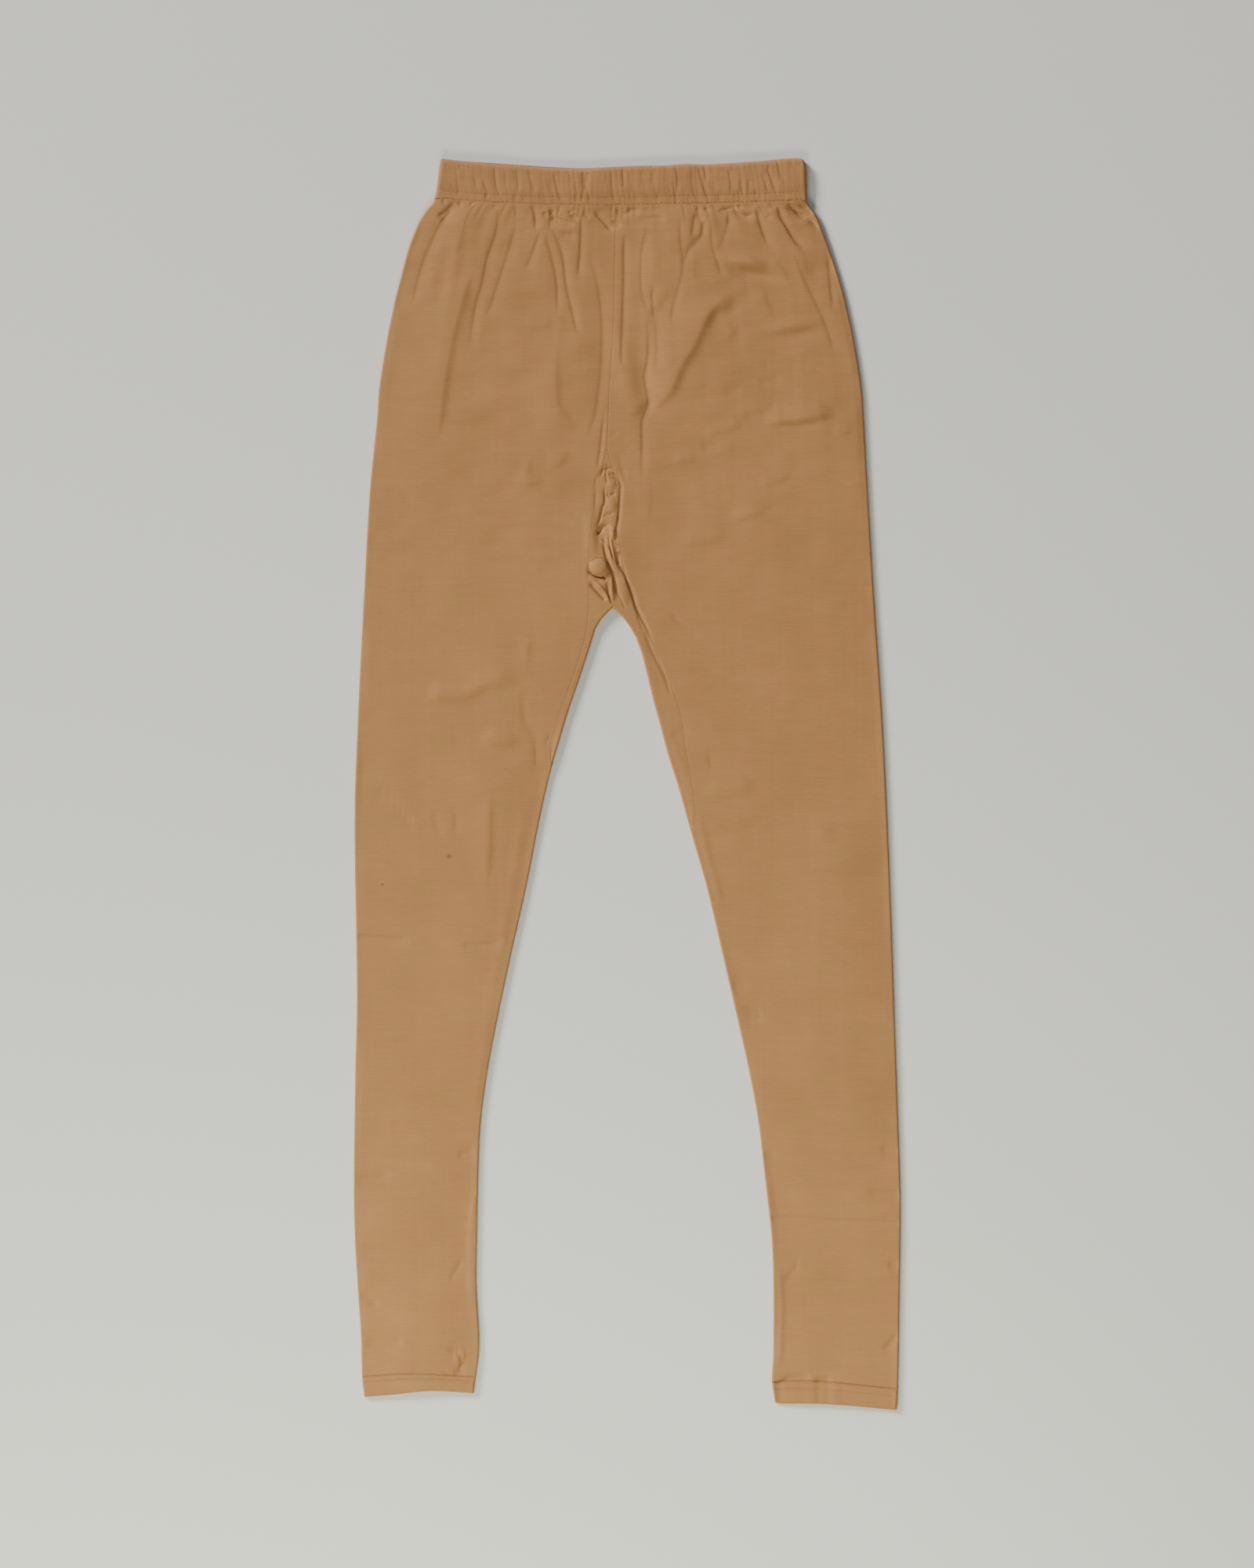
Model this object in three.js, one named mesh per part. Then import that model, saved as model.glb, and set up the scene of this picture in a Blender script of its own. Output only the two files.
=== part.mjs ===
// Leggings laid flat with the front up: an elastic waistband, two leg panels that each wrap from the
// front seam round the outer fold to the back seam, a crotch gusset and two turned hems.
// Millimetres. X runs across the garment, Y towards the waistband, Z up from the surface it lies on.
// "down" is the distance from the waistband's top corner towards the hems. The right leg is the
// wearer's right, so it lies at negative X.
import * as THREE from "three";

// Driving dimensions
const LENGTH = 1022; // waistband corner to the lower hem
const WALL = 1; // jersey, as thick as a wall may be drawn
const SEAM_GAP = 0.3; // between neighbouring pieces
const FLAT_HEIGHT = 2.8; // front and back layer with a little air between them
const CROWN = 0.6; // how much the middle of a leg stands above its folds
const CROWN_REACH = 40; // from a fold to the full crown
const WAIST_PUFF = 2.6; // extra height of the gathered cloth at the waist seam
const WAIST_PUFF_REACH = 50; // over which that height dies away
const PUFF_AT_FOLD = 0.6; // share of the puff that is left at the outer fold
const RELIEF_LIMIT = 2; // folds never thicken the wall by more than this
const FOLD_STEPS = 4; // facets round an outer fold
const BACK_COLUMNS = 4; // facets across a leg's back, which rests flat

const BAND_WALL = 2.1; // cloth, elastic and cloth
const BAND_HEIGHT = 6; // front and back of the casing together
const BAND_GATHER_DEPTH = 0.9;
const BAND_LEAN = 3; // a gather's foot lies this far to the right of its head
const BAND_LEAN_FADE = 25; // from the casing's ends to the full lean
const BAND_BACK_COLUMNS = 12;
const FACETS_PER_GATHER = 4;

const GATHER_DEPTH = 1.1; // of the legs' gathers at the waist seam
const GATHER_REACH = 34; // over which they die away

const GUSSET_COLUMNS = 9;
const GUSSET_TIP_STEP = 1.6; // length over which a leg closes below the gusset's tip
const CROTCH_BULK = 2.2; // seams and crumpled cloth that pile up above the crotch
const CROTCH_CENTRE = { x: -14, down: 338, wide: 20, long: 42 };

const HEM_WALL = 1.35; // the jersey turned up on itself
const HEM_HEIGHT = 3.5;
const HEM_COLUMNS = 9;

// Outer folds of both legs, as X at each distance down
const OUTER_FOLDS = [
  { down: 34, right: -157.2, left: 146.9 },
  { down: 38, right: -159.2, left: 147.4 },
  { down: 45.5, right: -165.4, left: 153.2 },
  { down: 57, right: -171.8, left: 158.5 },
  { down: 76, right: -178.9, left: 165.4 },
  { down: 115, right: -189.1, left: 177.6 },
  { down: 153, right: -196.8, left: 185.9 },
  { down: 191, right: -202.6, left: 191.7 },
  { down: 268, right: -209.6, left: 196.2 },
  { down: 345, right: -214.1, left: 200.6 },
  { down: 460, right: -219.8, left: 208.3 },
  { down: 537, right: -222.4, left: 212.2 },
  { down: 633, right: -221.1, left: 216 },
  { down: 748, right: -221.8, left: 219.8 },
  { down: 845, right: -223, left: 223 },
  { down: 921, right: -219.8, left: 222.4 },
  { down: 960, right: -217.2, left: 221.8 },
  { down: 998, right: -216, left: 221.1 },
  { down: 1022, right: -212.5, left: 219.8 },
];

// Inner folds of both legs below the gusset
const INNER_FOLDS = [
  { down: 460, right: -50.9, left: 25.9 },
  { down: 500, right: -62.2, left: 37.8 },
  { down: 537, right: -70.7, left: 48.3 },
  { down: 595, right: -82.2, left: 65 },
  { down: 652, right: -95, left: 78.4 },
  { down: 710, right: -107.2, left: 91.8 },
  { down: 748, right: -114.2, left: 100.2 },
  { down: 787, right: -119.4, left: 107.2 },
  { down: 825, right: -121.3, left: 111.7 },
  { down: 883, right: -122.6, left: 118.1 },
  { down: 921, right: -123, left: 119.4 },
  { down: 960, right: -120.8, left: 119.4 },
  { down: 998, right: -123.8, left: 118.1 },
  { down: 1016, right: -125.4, left: 120.6 },
];

// Centre-front seam from the waistband to the gusset's tip; the centre-back seam lies under it
const CENTRE_SEAM = [
  { down: 30, x: -9 },
  { down: 127, x: -10.6 },
  { down: 152, x: -11.8 },
  { down: 188, x: -14.4 },
  { down: 225, x: -15.7 },
];

// Gusset sections from its tip on the right leg, over the crotch, to its tip on the left leg: the
// point on the seam to the leg, and the point on the folded arch between the legs
const GUSSET_SECTIONS = [
  { seamX: -63.7, seamDown: 479, archX: -56, archDown: 479 },
  { seamX: -56, seamDown: 455, archX: -49, archDown: 455 },
  { seamX: -45.8, seamDown: 429, archX: -40, archDown: 429 },
  { seamX: -38.1, seamDown: 406, archX: -32.3, archDown: 406 },
  { seamX: -33, seamDown: 387, archX: -25.9, archDown: 385 },
  { seamX: -31, seamDown: 367, archX: -21.4, archDown: 377.6 },
  { seamX: -31.7, seamDown: 342, archX: -18.2, archDown: 373.8 },
  { seamX: -30.4, seamDown: 313, archX: -15.7, archDown: 371.2 },
  { seamX: -25.3, seamDown: 276, archX: -13.8, archDown: 369.3 },
  { seamX: -16.3, seamDown: 238, archX: -11.8, archDown: 367.4 },
  { seamX: -8.2, seamDown: 268, archX: -9.3, archDown: 369.3 },
  { seamX: -6.4, seamDown: 313, archX: -6.7, archDown: 371.8 },
  { seamX: -1.6, seamDown: 342, archX: -2.9, archDown: 375.7 },
  { seamX: 8, seamDown: 367, archX: 2.2, archDown: 382.7 },
  { seamX: 15.7, seamDown: 381, archX: 7.4, archDown: 391.7 },
  { seamX: 22.7, seamDown: 400, archX: 11.8, archDown: 403.8 },
  { seamX: 30.4, seamDown: 422, archX: 17, archDown: 424.3 },
  { seamX: 38.7, seamDown: 437, archX: 21.4, archDown: 442.9 },
  { seamX: 44.5, seamDown: 457, archX: 26.6, archDown: 461.4 },
  { seamX: 48.3, seamDown: 485, archX: 33, archDown: 485.8 },
  { seamX: 52.8, seamDown: 511, archX: 41.3, archDown: 511.4 },
  { seamX: 56, seamDown: 534, archX: 47.7, archDown: 534 },
];
const GUSSET_TIP_ROW = 9; // the section whose seam point is the gusset's front tip

// Waistband: its top edge, the seam below it and its two ends
const BAND_TOP = [
  { x: -152, down: 0.9 },
  { x: -119, down: 4.5 },
  { x: -85, down: 7 },
  { x: -52, down: 9 },
  { x: -35, down: 9.5 },
  { x: -18, down: 7.9 },
  { x: 14, down: 6.5 },
  { x: 64, down: 5.3 },
  { x: 98, down: 3.6 },
  { x: 131, down: 0.7 },
  { x: 147, down: 0 },
];
const WAIST_SEAM = [
  { x: -157, down: 33.9 },
  { x: -100, down: 37.5 },
  { x: -35, down: 39.2 },
  { x: 0, down: 39 },
  { x: 60, down: 38 },
  { x: 110, down: 36.6 },
  { x: 147, down: 35.2 },
];
const WAIST_SEAM_MIDDLE = 39;
const BAND_ENDS = [
  { down: 0, left: -152, right: 140.5 },
  { down: 2.5, left: -152.3, right: 144.2 },
  { down: 7, left: -152.9, right: 146 },
  { down: 18, left: -154.3, right: 146.6 },
  { down: 30, left: -155.8, right: 146.9 },
  { down: 36, left: -157.2, right: 146.9 },
];
// Depth profile of the casing: plump over the elastic, pinched at the stitching
const BAND_ROWS = [
  { share: 0, height: 0.78 },
  { share: 0.09, height: 0.96 },
  { share: 0.4, height: 1.04 },
  { share: 0.7, height: 0.94 },
  { share: 1, height: 0.9 },
];
// Gathers of the casing, in groups of like spacing from left to right
const GATHER_GROUPS = [
  { from: -152, to: -138, count: 1 },
  { from: -138, to: -116, count: 3 },
  { from: -116, to: -90, count: 3 },
  { from: -90, to: -77, count: 1 },
  { from: -77, to: -46, count: 4 },
  { from: -46, to: -33, count: 3 },
  { from: -33, to: -12, count: 1 },
  { from: -12, to: 6, count: 4 },
  { from: 6, to: 23, count: 2 },
  { from: 23, to: 57, count: 3 },
  { from: 57, to: 71, count: 2 },
  { from: 71, to: 94, count: 3 },
  { from: 94, to: 122, count: 6 },
  { from: 122, to: 147, count: 4 },
];

// The largest folds, as rounded ridges along a bend through three points given as [X, down]
const FOLDS = [
  { from: [-134, 40], by: [-160, 78], to: [-172, 124], wide: 7, high: 1.1 },
  { from: [-101, 42], by: [-110, 82], to: [-121, 150], wide: 8, high: 1.6 },
  { from: [-121, 92], by: [-134, 142], to: [-147, 222], wide: 11, high: 1.3 },
  { from: [-86, 46], by: [-99, 98], to: [-113, 132], wide: 7, high: 1.2 },
  { from: [-69, 56], by: [-75, 76], to: [-82, 98], wide: 6, high: 1 },
  { from: [-63, 60], by: [-54, 100], to: [-52, 132], wide: 7, high: 1.3 },
  { from: [-56, 54], by: [-46, 105], to: [-35, 150], wide: 7, high: 1.5 },
  { from: [-36, 44], by: [-36, 80], to: [-38, 106], wide: 6, high: 1.1 },
  { from: [-28, 74], by: [-17, 148], to: [-28, 228], wide: 7, high: 1.4 },
  { from: [-58, 150], by: [-60, 205], to: [-42, 216], wide: 8, high: 1 },
  { from: [-100, 261], by: [-82, 264], to: [-60, 254], wide: 8, high: 0.9 },
  { from: [-5, 46], by: [1, 110], to: [-1, 176], wide: 7, high: 1.6 },
  { from: [19, 50], by: [8, 92], to: [20, 130], wide: 7, high: 1.3 },
  { from: [19, 132], by: [18, 180], to: [14, 240], wide: 7, high: 1.5 },
  { from: [3, 138], by: [7, 186], to: [12, 206], wide: 7, high: 1.2 },
  { from: [47, 44], by: [50, 84], to: [38, 142], wide: 7, high: 1.3 },
  { from: [65, 46], by: [53, 74], to: [48, 94], wide: 6, high: 1 },
  { from: [72, 50], by: [71, 76], to: [80, 102], wide: 6, high: 1 },
  { from: [84, 70], by: [98, 92], to: [116, 88], wide: 9, high: 1.8 },
  { from: [109, 42], by: [117, 74], to: [138, 104], wide: 7, high: 1.2 },
  { from: [125, 40], by: [131, 58], to: [147, 78], wide: 7, high: 1.2 },
  { from: [134, 78], by: [152, 114], to: [166, 164], wide: 9, high: 1.2 },
  { from: [96, 112], by: [58, 140], to: [36, 190], wide: 9, high: 1.9 },
  { from: [42, 178], by: [32, 202], to: [20, 214], wide: 9, high: 1.5 },
  { from: [112, 98], by: [120, 140], to: [156, 138], wide: 9, high: 1.2 },
  { from: [112, 213], by: [140, 212], to: [170, 207], wide: 9, high: 1.1 },
  { from: [32, 244], by: [48, 246], to: [62, 242], wide: 8, high: 0.8 },
  { from: [86, 274], by: [106, 262], to: [132, 256], wide: 9, high: 0.8 },
  { from: [-130, 473], by: [-106, 471], to: [-82, 472], wide: 9, high: 0.8 },
  { from: [-84, 442], by: [-73, 474], to: [-74, 504], wide: 8, high: 0.8 },
  { from: [44, 480], by: [54, 520], to: [62, 540], wide: 7, high: 0.8 },
  { from: [-27, 268], by: [-20, 296], to: [-22, 314], wide: 4, high: 1.4 },
  { from: [-22, 306], by: [-10, 328], to: [-9, 366], wide: 4, high: 2 },
  { from: [-27, 336], by: [-23, 330], to: [-19, 338], wide: 6, high: 2 },
  { from: [-29, 344], by: [-22, 352], to: [-13, 364], wide: 4, high: 1.6 },
  { from: [-12, 248], by: [-11, 280], to: [-10, 312], wide: 5, high: 1.2 },
];

// Leg rows and columns: fine where the cloth is gathered and folded, coarse where it lies smooth
const LEG_ZONES = [
  { to: 62, step: 9, columns: 84 },
  { to: 240, step: 12, columns: 40 },
  { to: 330, step: 15, columns: 24 },
  { to: 545, step: 22, columns: 16 },
  { to: 900, step: 42, columns: HEM_COLUMNS },
  { to: LENGTH, step: 30, columns: HEM_COLUMNS },
];
const WAIST_SHEAR_REACH = 80; // rows straighten from the waist seam's curve over this length
const HEM_SHEAR_REACH = 90;

const LEGS = {
  right: {
    side: -1,
    hemSeam: [
      { x: -216, down: 994 },
      { x: -177, down: 991.4 },
      { x: -124, down: 994 },
    ],
    hemEdge: [
      { x: -214, down: 1011.2 },
      { x: -160, down: 1006 },
      { x: -125, down: 1008 },
    ],
    hemMiddle: 993,
  },
  left: {
    side: 1,
    hemSeam: [
      { x: 118, down: 998.4 },
      { x: 150, down: 997.2 },
      { x: 221, down: 1004 },
    ],
    hemEdge: [
      { x: 119, down: 1015.6 },
      { x: 152, down: 1016.4 },
      { x: 221, down: 1022 },
    ],
    hemMiddle: 999,
  },
};

const COLOURS = { band: "#a37951", leg: "#ab835b", gusset: "#a57c54", hem: "#b1895f" };
const CLOTH_ROUGHNESS = 0.9;

const clamp = THREE.MathUtils.clamp;
const mix = THREE.MathUtils.lerp;
const ease = (t) => THREE.MathUtils.smoothstep(t, 0, 1);
const bell = (t) => (Math.abs(t) < 1 ? (1 - t * t) ** 2 : 0);

// A table read as a smooth curve: value column against key column
function smoothCurve(rows, key, value) {
  const slope = (i) => {
    const before = rows[Math.max(i - 1, 0)];
    const after = rows[Math.min(i + 1, rows.length - 1)];
    return (after[value] - before[value]) / (after[key] - before[key]);
  };
  return (at) => {
    let i = 0;
    while (i < rows.length - 2 && at > rows[i + 1][key]) i += 1;
    const span = rows[i + 1][key] - rows[i][key];
    const t = clamp((at - rows[i][key]) / span, 0, 1);
    const blend = t * t * (3 - 2 * t);
    const leaving = slope(i) * span * t * (1 - t) ** 2;
    const arriving = slope(i + 1) * span * t * t * (1 - t);
    return mix(rows[i][value], rows[i + 1][value], blend) + leaving - arriving;
  };
}

// A table read as straight lines between its rows
function straightLine(rows, key, value) {
  return (at) => {
    let i = 0;
    while (i < rows.length - 2 && at > rows[i + 1][key]) i += 1;
    const t = (at - rows[i][key]) / (rows[i + 1][key] - rows[i][key]);
    return mix(rows[i][value], rows[i + 1][value], clamp(t, 0, 1));
  };
}

const outerFold = {
  right: smoothCurve(OUTER_FOLDS, "down", "right"),
  left: smoothCurve(OUTER_FOLDS, "down", "left"),
};
const innerFold = {
  right: smoothCurve(INNER_FOLDS, "down", "right"),
  left: smoothCurve(INNER_FOLDS, "down", "left"),
};
const waistSeam = smoothCurve(WAIST_SEAM, "x", "down");
const centreSeam = straightLine(CENTRE_SEAM, "down", "x");

// The line where a leg panel ends at the centre seam and the gusset, shared by front and back
const gussetSeam = (section) => ({ down: section.seamDown, x: section.seamX });
const SEAM_ROWS = {
  right: [...CENTRE_SEAM, ...GUSSET_SECTIONS.slice(0, GUSSET_TIP_ROW + 1).reverse().map(gussetSeam)],
  left: [...CENTRE_SEAM, ...GUSSET_SECTIONS.slice(GUSSET_TIP_ROW).map(gussetSeam)],
};
const seamLine = {
  right: straightLine(SEAM_ROWS.right, "down", "x"),
  left: straightLine(SEAM_ROWS.left, "down", "x"),
};
const gussetEnd = {
  right: GUSSET_SECTIONS[0].seamDown,
  left: GUSSET_SECTIONS[GUSSET_SECTIONS.length - 1].seamDown,
};

// Creases of the casing's gathers, worked out from their groups
const CREASES = GATHER_GROUPS.flatMap((group) =>
  Array.from({ length: group.count }, (_, i) => mix(group.from, group.to, i / group.count)),
).concat(GATHER_GROUPS[GATHER_GROUPS.length - 1].to);

// Rounded swell between two creases, 0 at a crease and 1 in the middle
function gatherSwell(x) {
  const i = clamp(CREASES.findIndex((crease) => crease > x), 1, CREASES.length - 1);
  const t = (x - CREASES[i - 1]) / (CREASES[i] - CREASES[i - 1]);
  return Math.sqrt(Math.max(Math.sin(Math.PI * clamp(t, 0, 1)), 0));
}

const FOLD_SAMPLES = 10;
const FOLD_TAPER = 0.2; // share of a fold's length over which each end dies away
const foldLines = FOLDS.map((fold) => {
  const [from, by, to] = [fold.from, fold.by, fold.to].map(([x, down]) => new THREE.Vector2(x, down));
  const handle = by.clone().multiplyScalar(2).sub(from.clone().add(to).multiplyScalar(0.5));
  return new THREE.QuadraticBezierCurve(from, handle, to).getPoints(FOLD_SAMPLES);
});

// Height of one fold at a place: a ridge round its line, tapered towards both ends
function foldHeight(fold, line, x, down) {
  let height = 0;
  for (let i = 0; i < FOLD_SAMPLES; i += 1) {
    const a = line[i];
    const b = line[i + 1];
    const length2 = (b.x - a.x) ** 2 + (b.y - a.y) ** 2;
    const t = clamp(((x - a.x) * (b.x - a.x) + (down - a.y) * (b.y - a.y)) / length2, 0, 1);
    const away = Math.hypot(x - mix(a.x, b.x, t), down - mix(a.y, b.y, t));
    const along = (i + t) / FOLD_SAMPLES;
    const taper = ease(along / FOLD_TAPER) * ease((1 - along) / FOLD_TAPER);
    height = Math.max(height, fold.high * taper * bell(away / fold.wide));
  }
  return height;
}

const legAt = (x, down) => (x < centreSeam(down) ? "right" : "left");

// Distance of a place from the nearest fold of its leg
function foldDistance(x, down) {
  const leg = legAt(x, down);
  const outer = Math.abs(outerFold[leg](down) - x);
  return down > gussetEnd[leg] ? Math.min(outer, Math.abs(x - innerFold[leg](down))) : outer;
}

const waistPuff = (down) => WAIST_PUFF * Math.exp(-(down - WAIST_SEAM_MIDDLE) / WAIST_PUFF_REACH);

// Height of the front layer without its folds; the wall's inside follows this
function plainHeight(x, down) {
  const away = foldDistance(x, down);
  const puff = waistPuff(down) * mix(PUFF_AT_FOLD, 1, ease(away / CROWN_REACH));
  const bulkX = (x - CROTCH_CENTRE.x) / CROTCH_CENTRE.wide;
  const bulkDown = (down - CROTCH_CENTRE.down) / CROTCH_CENTRE.long;
  const bulk = CROTCH_BULK * Math.exp(-bulkX * bulkX - bulkDown * bulkDown);
  return FLAT_HEIGHT + puff + CROWN * ease(away / CROWN_REACH) + bulk;
}

// Height of the front layer with its gathers and folds
function frontHeight(x, down) {
  const leg = legAt(x, down);
  const spread = outerFold[leg](WAIST_SEAM_MIDDLE) / outerFold[leg](down);
  const gatherFade = ease(1 - (down - WAIST_SEAM_MIDDLE) / GATHER_REACH);
  const gather = GATHER_DEPTH * gatherSwell(x * spread) * gatherFade;
  const folds = FOLDS.reduce((sum, fold, i) => sum + foldHeight(fold, foldLines[i], x, down), 0);
  const relief = RELIEF_LIMIT * (1 - Math.exp(-(gather + folds) / RELIEF_LIMIT));
  const edgeFade = ease(foldDistance(x, down) / (3 * FLAT_HEIGHT));
  return plainHeight(x, down) + relief * edgeFade;
}

// Meshes are skinned from rows of points. Each point has a reading along its row, so rows with
// different numbers of points can be joined.
const at = (x, down, z, reading) => ({ position: [x, LENGTH / 2 - down, z], reading });

class Solid {
  constructor() {
    this.positions = [];
    this.triangles = [];
  }

  place(row, closed) {
    const placed = row.map((point) => {
      this.positions.push(...point.position);
      return { index: this.positions.length / 3 - 1, reading: point.reading };
    });
    if (closed) placed.push({ index: placed[0].index, reading: Infinity });
    return placed;
  }

  // Joins two rows with triangles, stepping along whichever row lags behind
  join(a, b) {
    let i = 0;
    let j = 0;
    while (i < a.length - 1 || j < b.length - 1) {
      const stepA = j === b.length - 1 || (i < a.length - 1 && a[i + 1].reading <= b[j + 1].reading);
      if (stepA) {
        this.triangles.push(a[i].index, a[i + 1].index, b[j].index);
        i += 1;
      } else {
        this.triangles.push(a[i].index, b[j + 1].index, b[j].index);
        j += 1;
      }
    }
  }

  geometry() {
    const flipped = this.volume() < 0;
    const index = [];
    for (let i = 0; i < this.triangles.length; i += 3) {
      const [a, b, c] = this.triangles.slice(i, i + 3);
      index.push(a, ...(flipped ? [c, b] : [b, c]));
    }
    const geometry = new THREE.BufferGeometry();
    geometry.setAttribute("position", new THREE.Float32BufferAttribute(this.positions, 3));
    geometry.setIndex(index);
    return geometry;
  }

  volume() {
    const corner = (i) => new THREE.Vector3().fromArray(this.positions, 3 * this.triangles[i]);
    let sum = 0;
    for (let i = 0; i < this.triangles.length; i += 3) {
      sum += corner(i).dot(corner(i + 1).cross(corner(i + 2)));
    }
    return sum / 6;
  }
}

// A cloth wall from rows that each have an outer and an inner line of points. An open wall gets an
// end face along both of its edges, and a closed one runs right round.
function clothWall(rows, closed) {
  const solid = new Solid();
  const placed = rows.map((row) => ({
    outer: solid.place(row.outer, closed),
    inner: solid.place(row.inner, closed),
  }));
  for (let i = 0; i < placed.length - 1; i += 1) {
    const [row, next] = [placed[i], placed[i + 1]];
    solid.join(row.outer, next.outer);
    solid.join(next.inner, row.inner);
    if (!closed) {
      const first = (line) => line[0];
      const last = (line) => line[line.length - 1];
      solid.join([first(row.outer), first(next.outer)], [first(row.inner), first(next.inner)]);
      solid.join([last(next.outer), last(row.outer)], [last(next.inner), last(row.inner)]);
    }
  }
  const bottom = placed[placed.length - 1];
  solid.join(placed[0].inner, placed[0].outer);
  solid.join(bottom.outer, bottom.inner);
  return solid.geometry();
}

const range = (count, make) => Array.from({ length: count + 1 }, (_, i) => make(i / count));

// Round of a flat fold, over from the top to the bottom, as points round its centre
function foldRound(foldX, side, radius, wallIn, steps, firstReading, place) {
  return range(steps, (t) => {
    const angle = Math.PI * t;
    const reach = radius - wallIn;
    const x = foldX - side * (radius - reach * Math.sin(angle));
    return place(x, radius + reach * Math.cos(angle), firstReading + t);
  });
}

// Section of a leg panel across one row: front edge, front, outer fold, back, back edge. Below the
// gusset the panel also wraps round the inner fold, and its two edges meet there at the inseam.
function legRow(name, station, columns, wrapped) {
  const { side, hemSeam, hemMiddle } = LEGS[name];
  const hemLine = smoothCurve(hemSeam, "x", "down");
  const rowDown = (x) => {
    const nearWaist = 1 - ease((station - WAIST_SEAM_MIDDLE) / WAIST_SHEAR_REACH);
    const nearHem = ease((station - hemMiddle) / HEM_SHEAR_REACH + 1);
    return station + (waistSeam(x) - WAIST_SEAM_MIDDLE) * nearWaist + (hemLine(x) - hemMiddle) * nearHem;
  };
  const place = (x, z, reading) => at(x, rowDown(x), z, reading);
  const foldX = outerFold[name](rowDown(outerFold[name](station)));
  const foldRadius = plainHeight(foldX, rowDown(foldX)) / 2;
  const foldStart = foldX - side * foldRadius;
  const innerX = innerFold[name](rowDown(innerFold[name](station)));
  const innerRadius = wrapped ? plainHeight(innerX, rowDown(innerX)) / 2 : 0;
  const edgeX = wrapped ? innerX + side * innerRadius : seamLine[name](station) + (side * SEAM_GAP) / 2;

  const layer = (wallIn, frontColumns, height) => {
    const line = range(frontColumns, (t) => {
      const x = mix(edgeX, foldStart, t);
      return place(x, height(x, rowDown(x)), t);
    });
    line[line.length - 1] = place(foldStart, 2 * foldRadius - wallIn, 1);
    const round = foldRound(foldX, side, foldRadius, wallIn, FOLD_STEPS, 1, place).slice(1);
    const back = range(BACK_COLUMNS, (t) => place(mix(foldStart, edgeX, t), wallIn, 2 + t)).slice(1);
    return [...line, ...round, ...back];
  };
  const outer = layer(0, columns, frontHeight);
  const inner = layer(WALL, Math.min(columns, HEM_COLUMNS), (x, down) => plainHeight(x, down) - WALL);
  if (!wrapped) return { outer, inner };

  // The inner fold, split at half height by the inseam
  const wrap = (line, wallIn) => {
    const half = SEAM_GAP / 2;
    const reach = innerRadius - wallIn;
    const lip = (up) => place(innerX + side * (innerRadius - reach), innerRadius + up * half, up > 0 ? -1 : 4);
    const bend = (up) => {
      const x = innerX + side * (innerRadius - reach * Math.SQRT1_2);
      return place(x, innerRadius + up * reach * Math.SQRT1_2, up > 0 ? -0.5 : 3.5);
    };
    line[0] = place(edgeX, 2 * innerRadius - wallIn, 0);
    return [lip(1), bend(1), ...line, bend(-1), lip(-1)];
  };
  return { outer: wrap(outer, 0), inner: wrap(inner, WALL) };
}

// Stations down a leg: regular steps in each zone, and one at each corner of the seam line
function legStations(name) {
  const top = WAIST_SEAM_MIDDLE + SEAM_GAP;
  const bottom = LEGS[name].hemMiddle - SEAM_GAP;
  const end = gussetEnd[name];
  const corners = SEAM_ROWS[name].map((row) => row.down).filter((down) => down > top);
  const fixed = [top, ...corners, end + GUSSET_TIP_STEP, bottom];
  const stations = [...fixed];
  let down = top;
  for (const zone of LEG_ZONES) {
    while (down + zone.step < Math.min(zone.to, bottom)) {
      down += zone.step;
      const nearest = Math.min(...fixed.map((other) => Math.abs(other - down)));
      if (nearest > zone.step / 3) stations.push(down);
    }
  }
  return stations.sort((a, b) => a - b);
}

function legPanel(name) {
  const rows = legStations(name).map((station) => {
    const zone = LEG_ZONES.find((candidate) => station < candidate.to);
    return legRow(name, station, zone.columns, station > gussetEnd[name]);
  });
  return clothWall(rows, false);
}

// Section of the gusset from the front seam over the arch fold to the back seam
function gussetRow(section, index) {
  const count = GUSSET_SECTIONS.length - 1;
  const side = Math.sign(index - GUSSET_TIP_ROW);
  const atEnd = index === 0 || index === count;
  const tipDrop = side === 0 ? 5 * SEAM_GAP : 0;
  const endLift = atEnd ? SEAM_GAP : 0;
  const seam = new THREE.Vector2(section.seamX - (side * SEAM_GAP) / 2, section.seamDown + tipDrop - endLift);
  const archDrop = atEnd ? GUSSET_TIP_STEP - 2 * SEAM_GAP : 0;
  const arch = new THREE.Vector2(section.archX, section.archDown + archDrop);
  const radius = Math.min(plainHeight(arch.x, arch.y) / 2, arch.distanceTo(seam) / 2);
  const length = arch.distanceTo(seam);
  const point = (fromSeam, z, reading) => {
    const place = seam.clone().lerp(arch, fromSeam / length);
    return at(place.x, place.y, z, reading);
  };
  const layer = (wallIn, columns, height) => {
    const line = range(columns, (t) => {
      const fromSeam = t * (length - radius);
      const place = seam.clone().lerp(arch, fromSeam / length);
      const plain = mix(plainHeight(place.x, place.y), 2 * radius, ease(t));
      const relief = (height(place.x, place.y) - plainHeight(place.x, place.y)) * ease(3 * (1 - t));
      return point(fromSeam, plain + relief - wallIn, t);
    });
    const round = range(FOLD_STEPS, (t) => {
      const reach = radius - wallIn;
      return point(length - radius + reach * Math.sin(Math.PI * t), radius + reach * Math.cos(Math.PI * t), 1 + t);
    }).slice(1);
    return [...line, ...round, point(0, wallIn, 3)];
  };
  return { outer: layer(0, GUSSET_COLUMNS, frontHeight), inner: layer(WALL, 4, plainHeight) };
}

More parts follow.
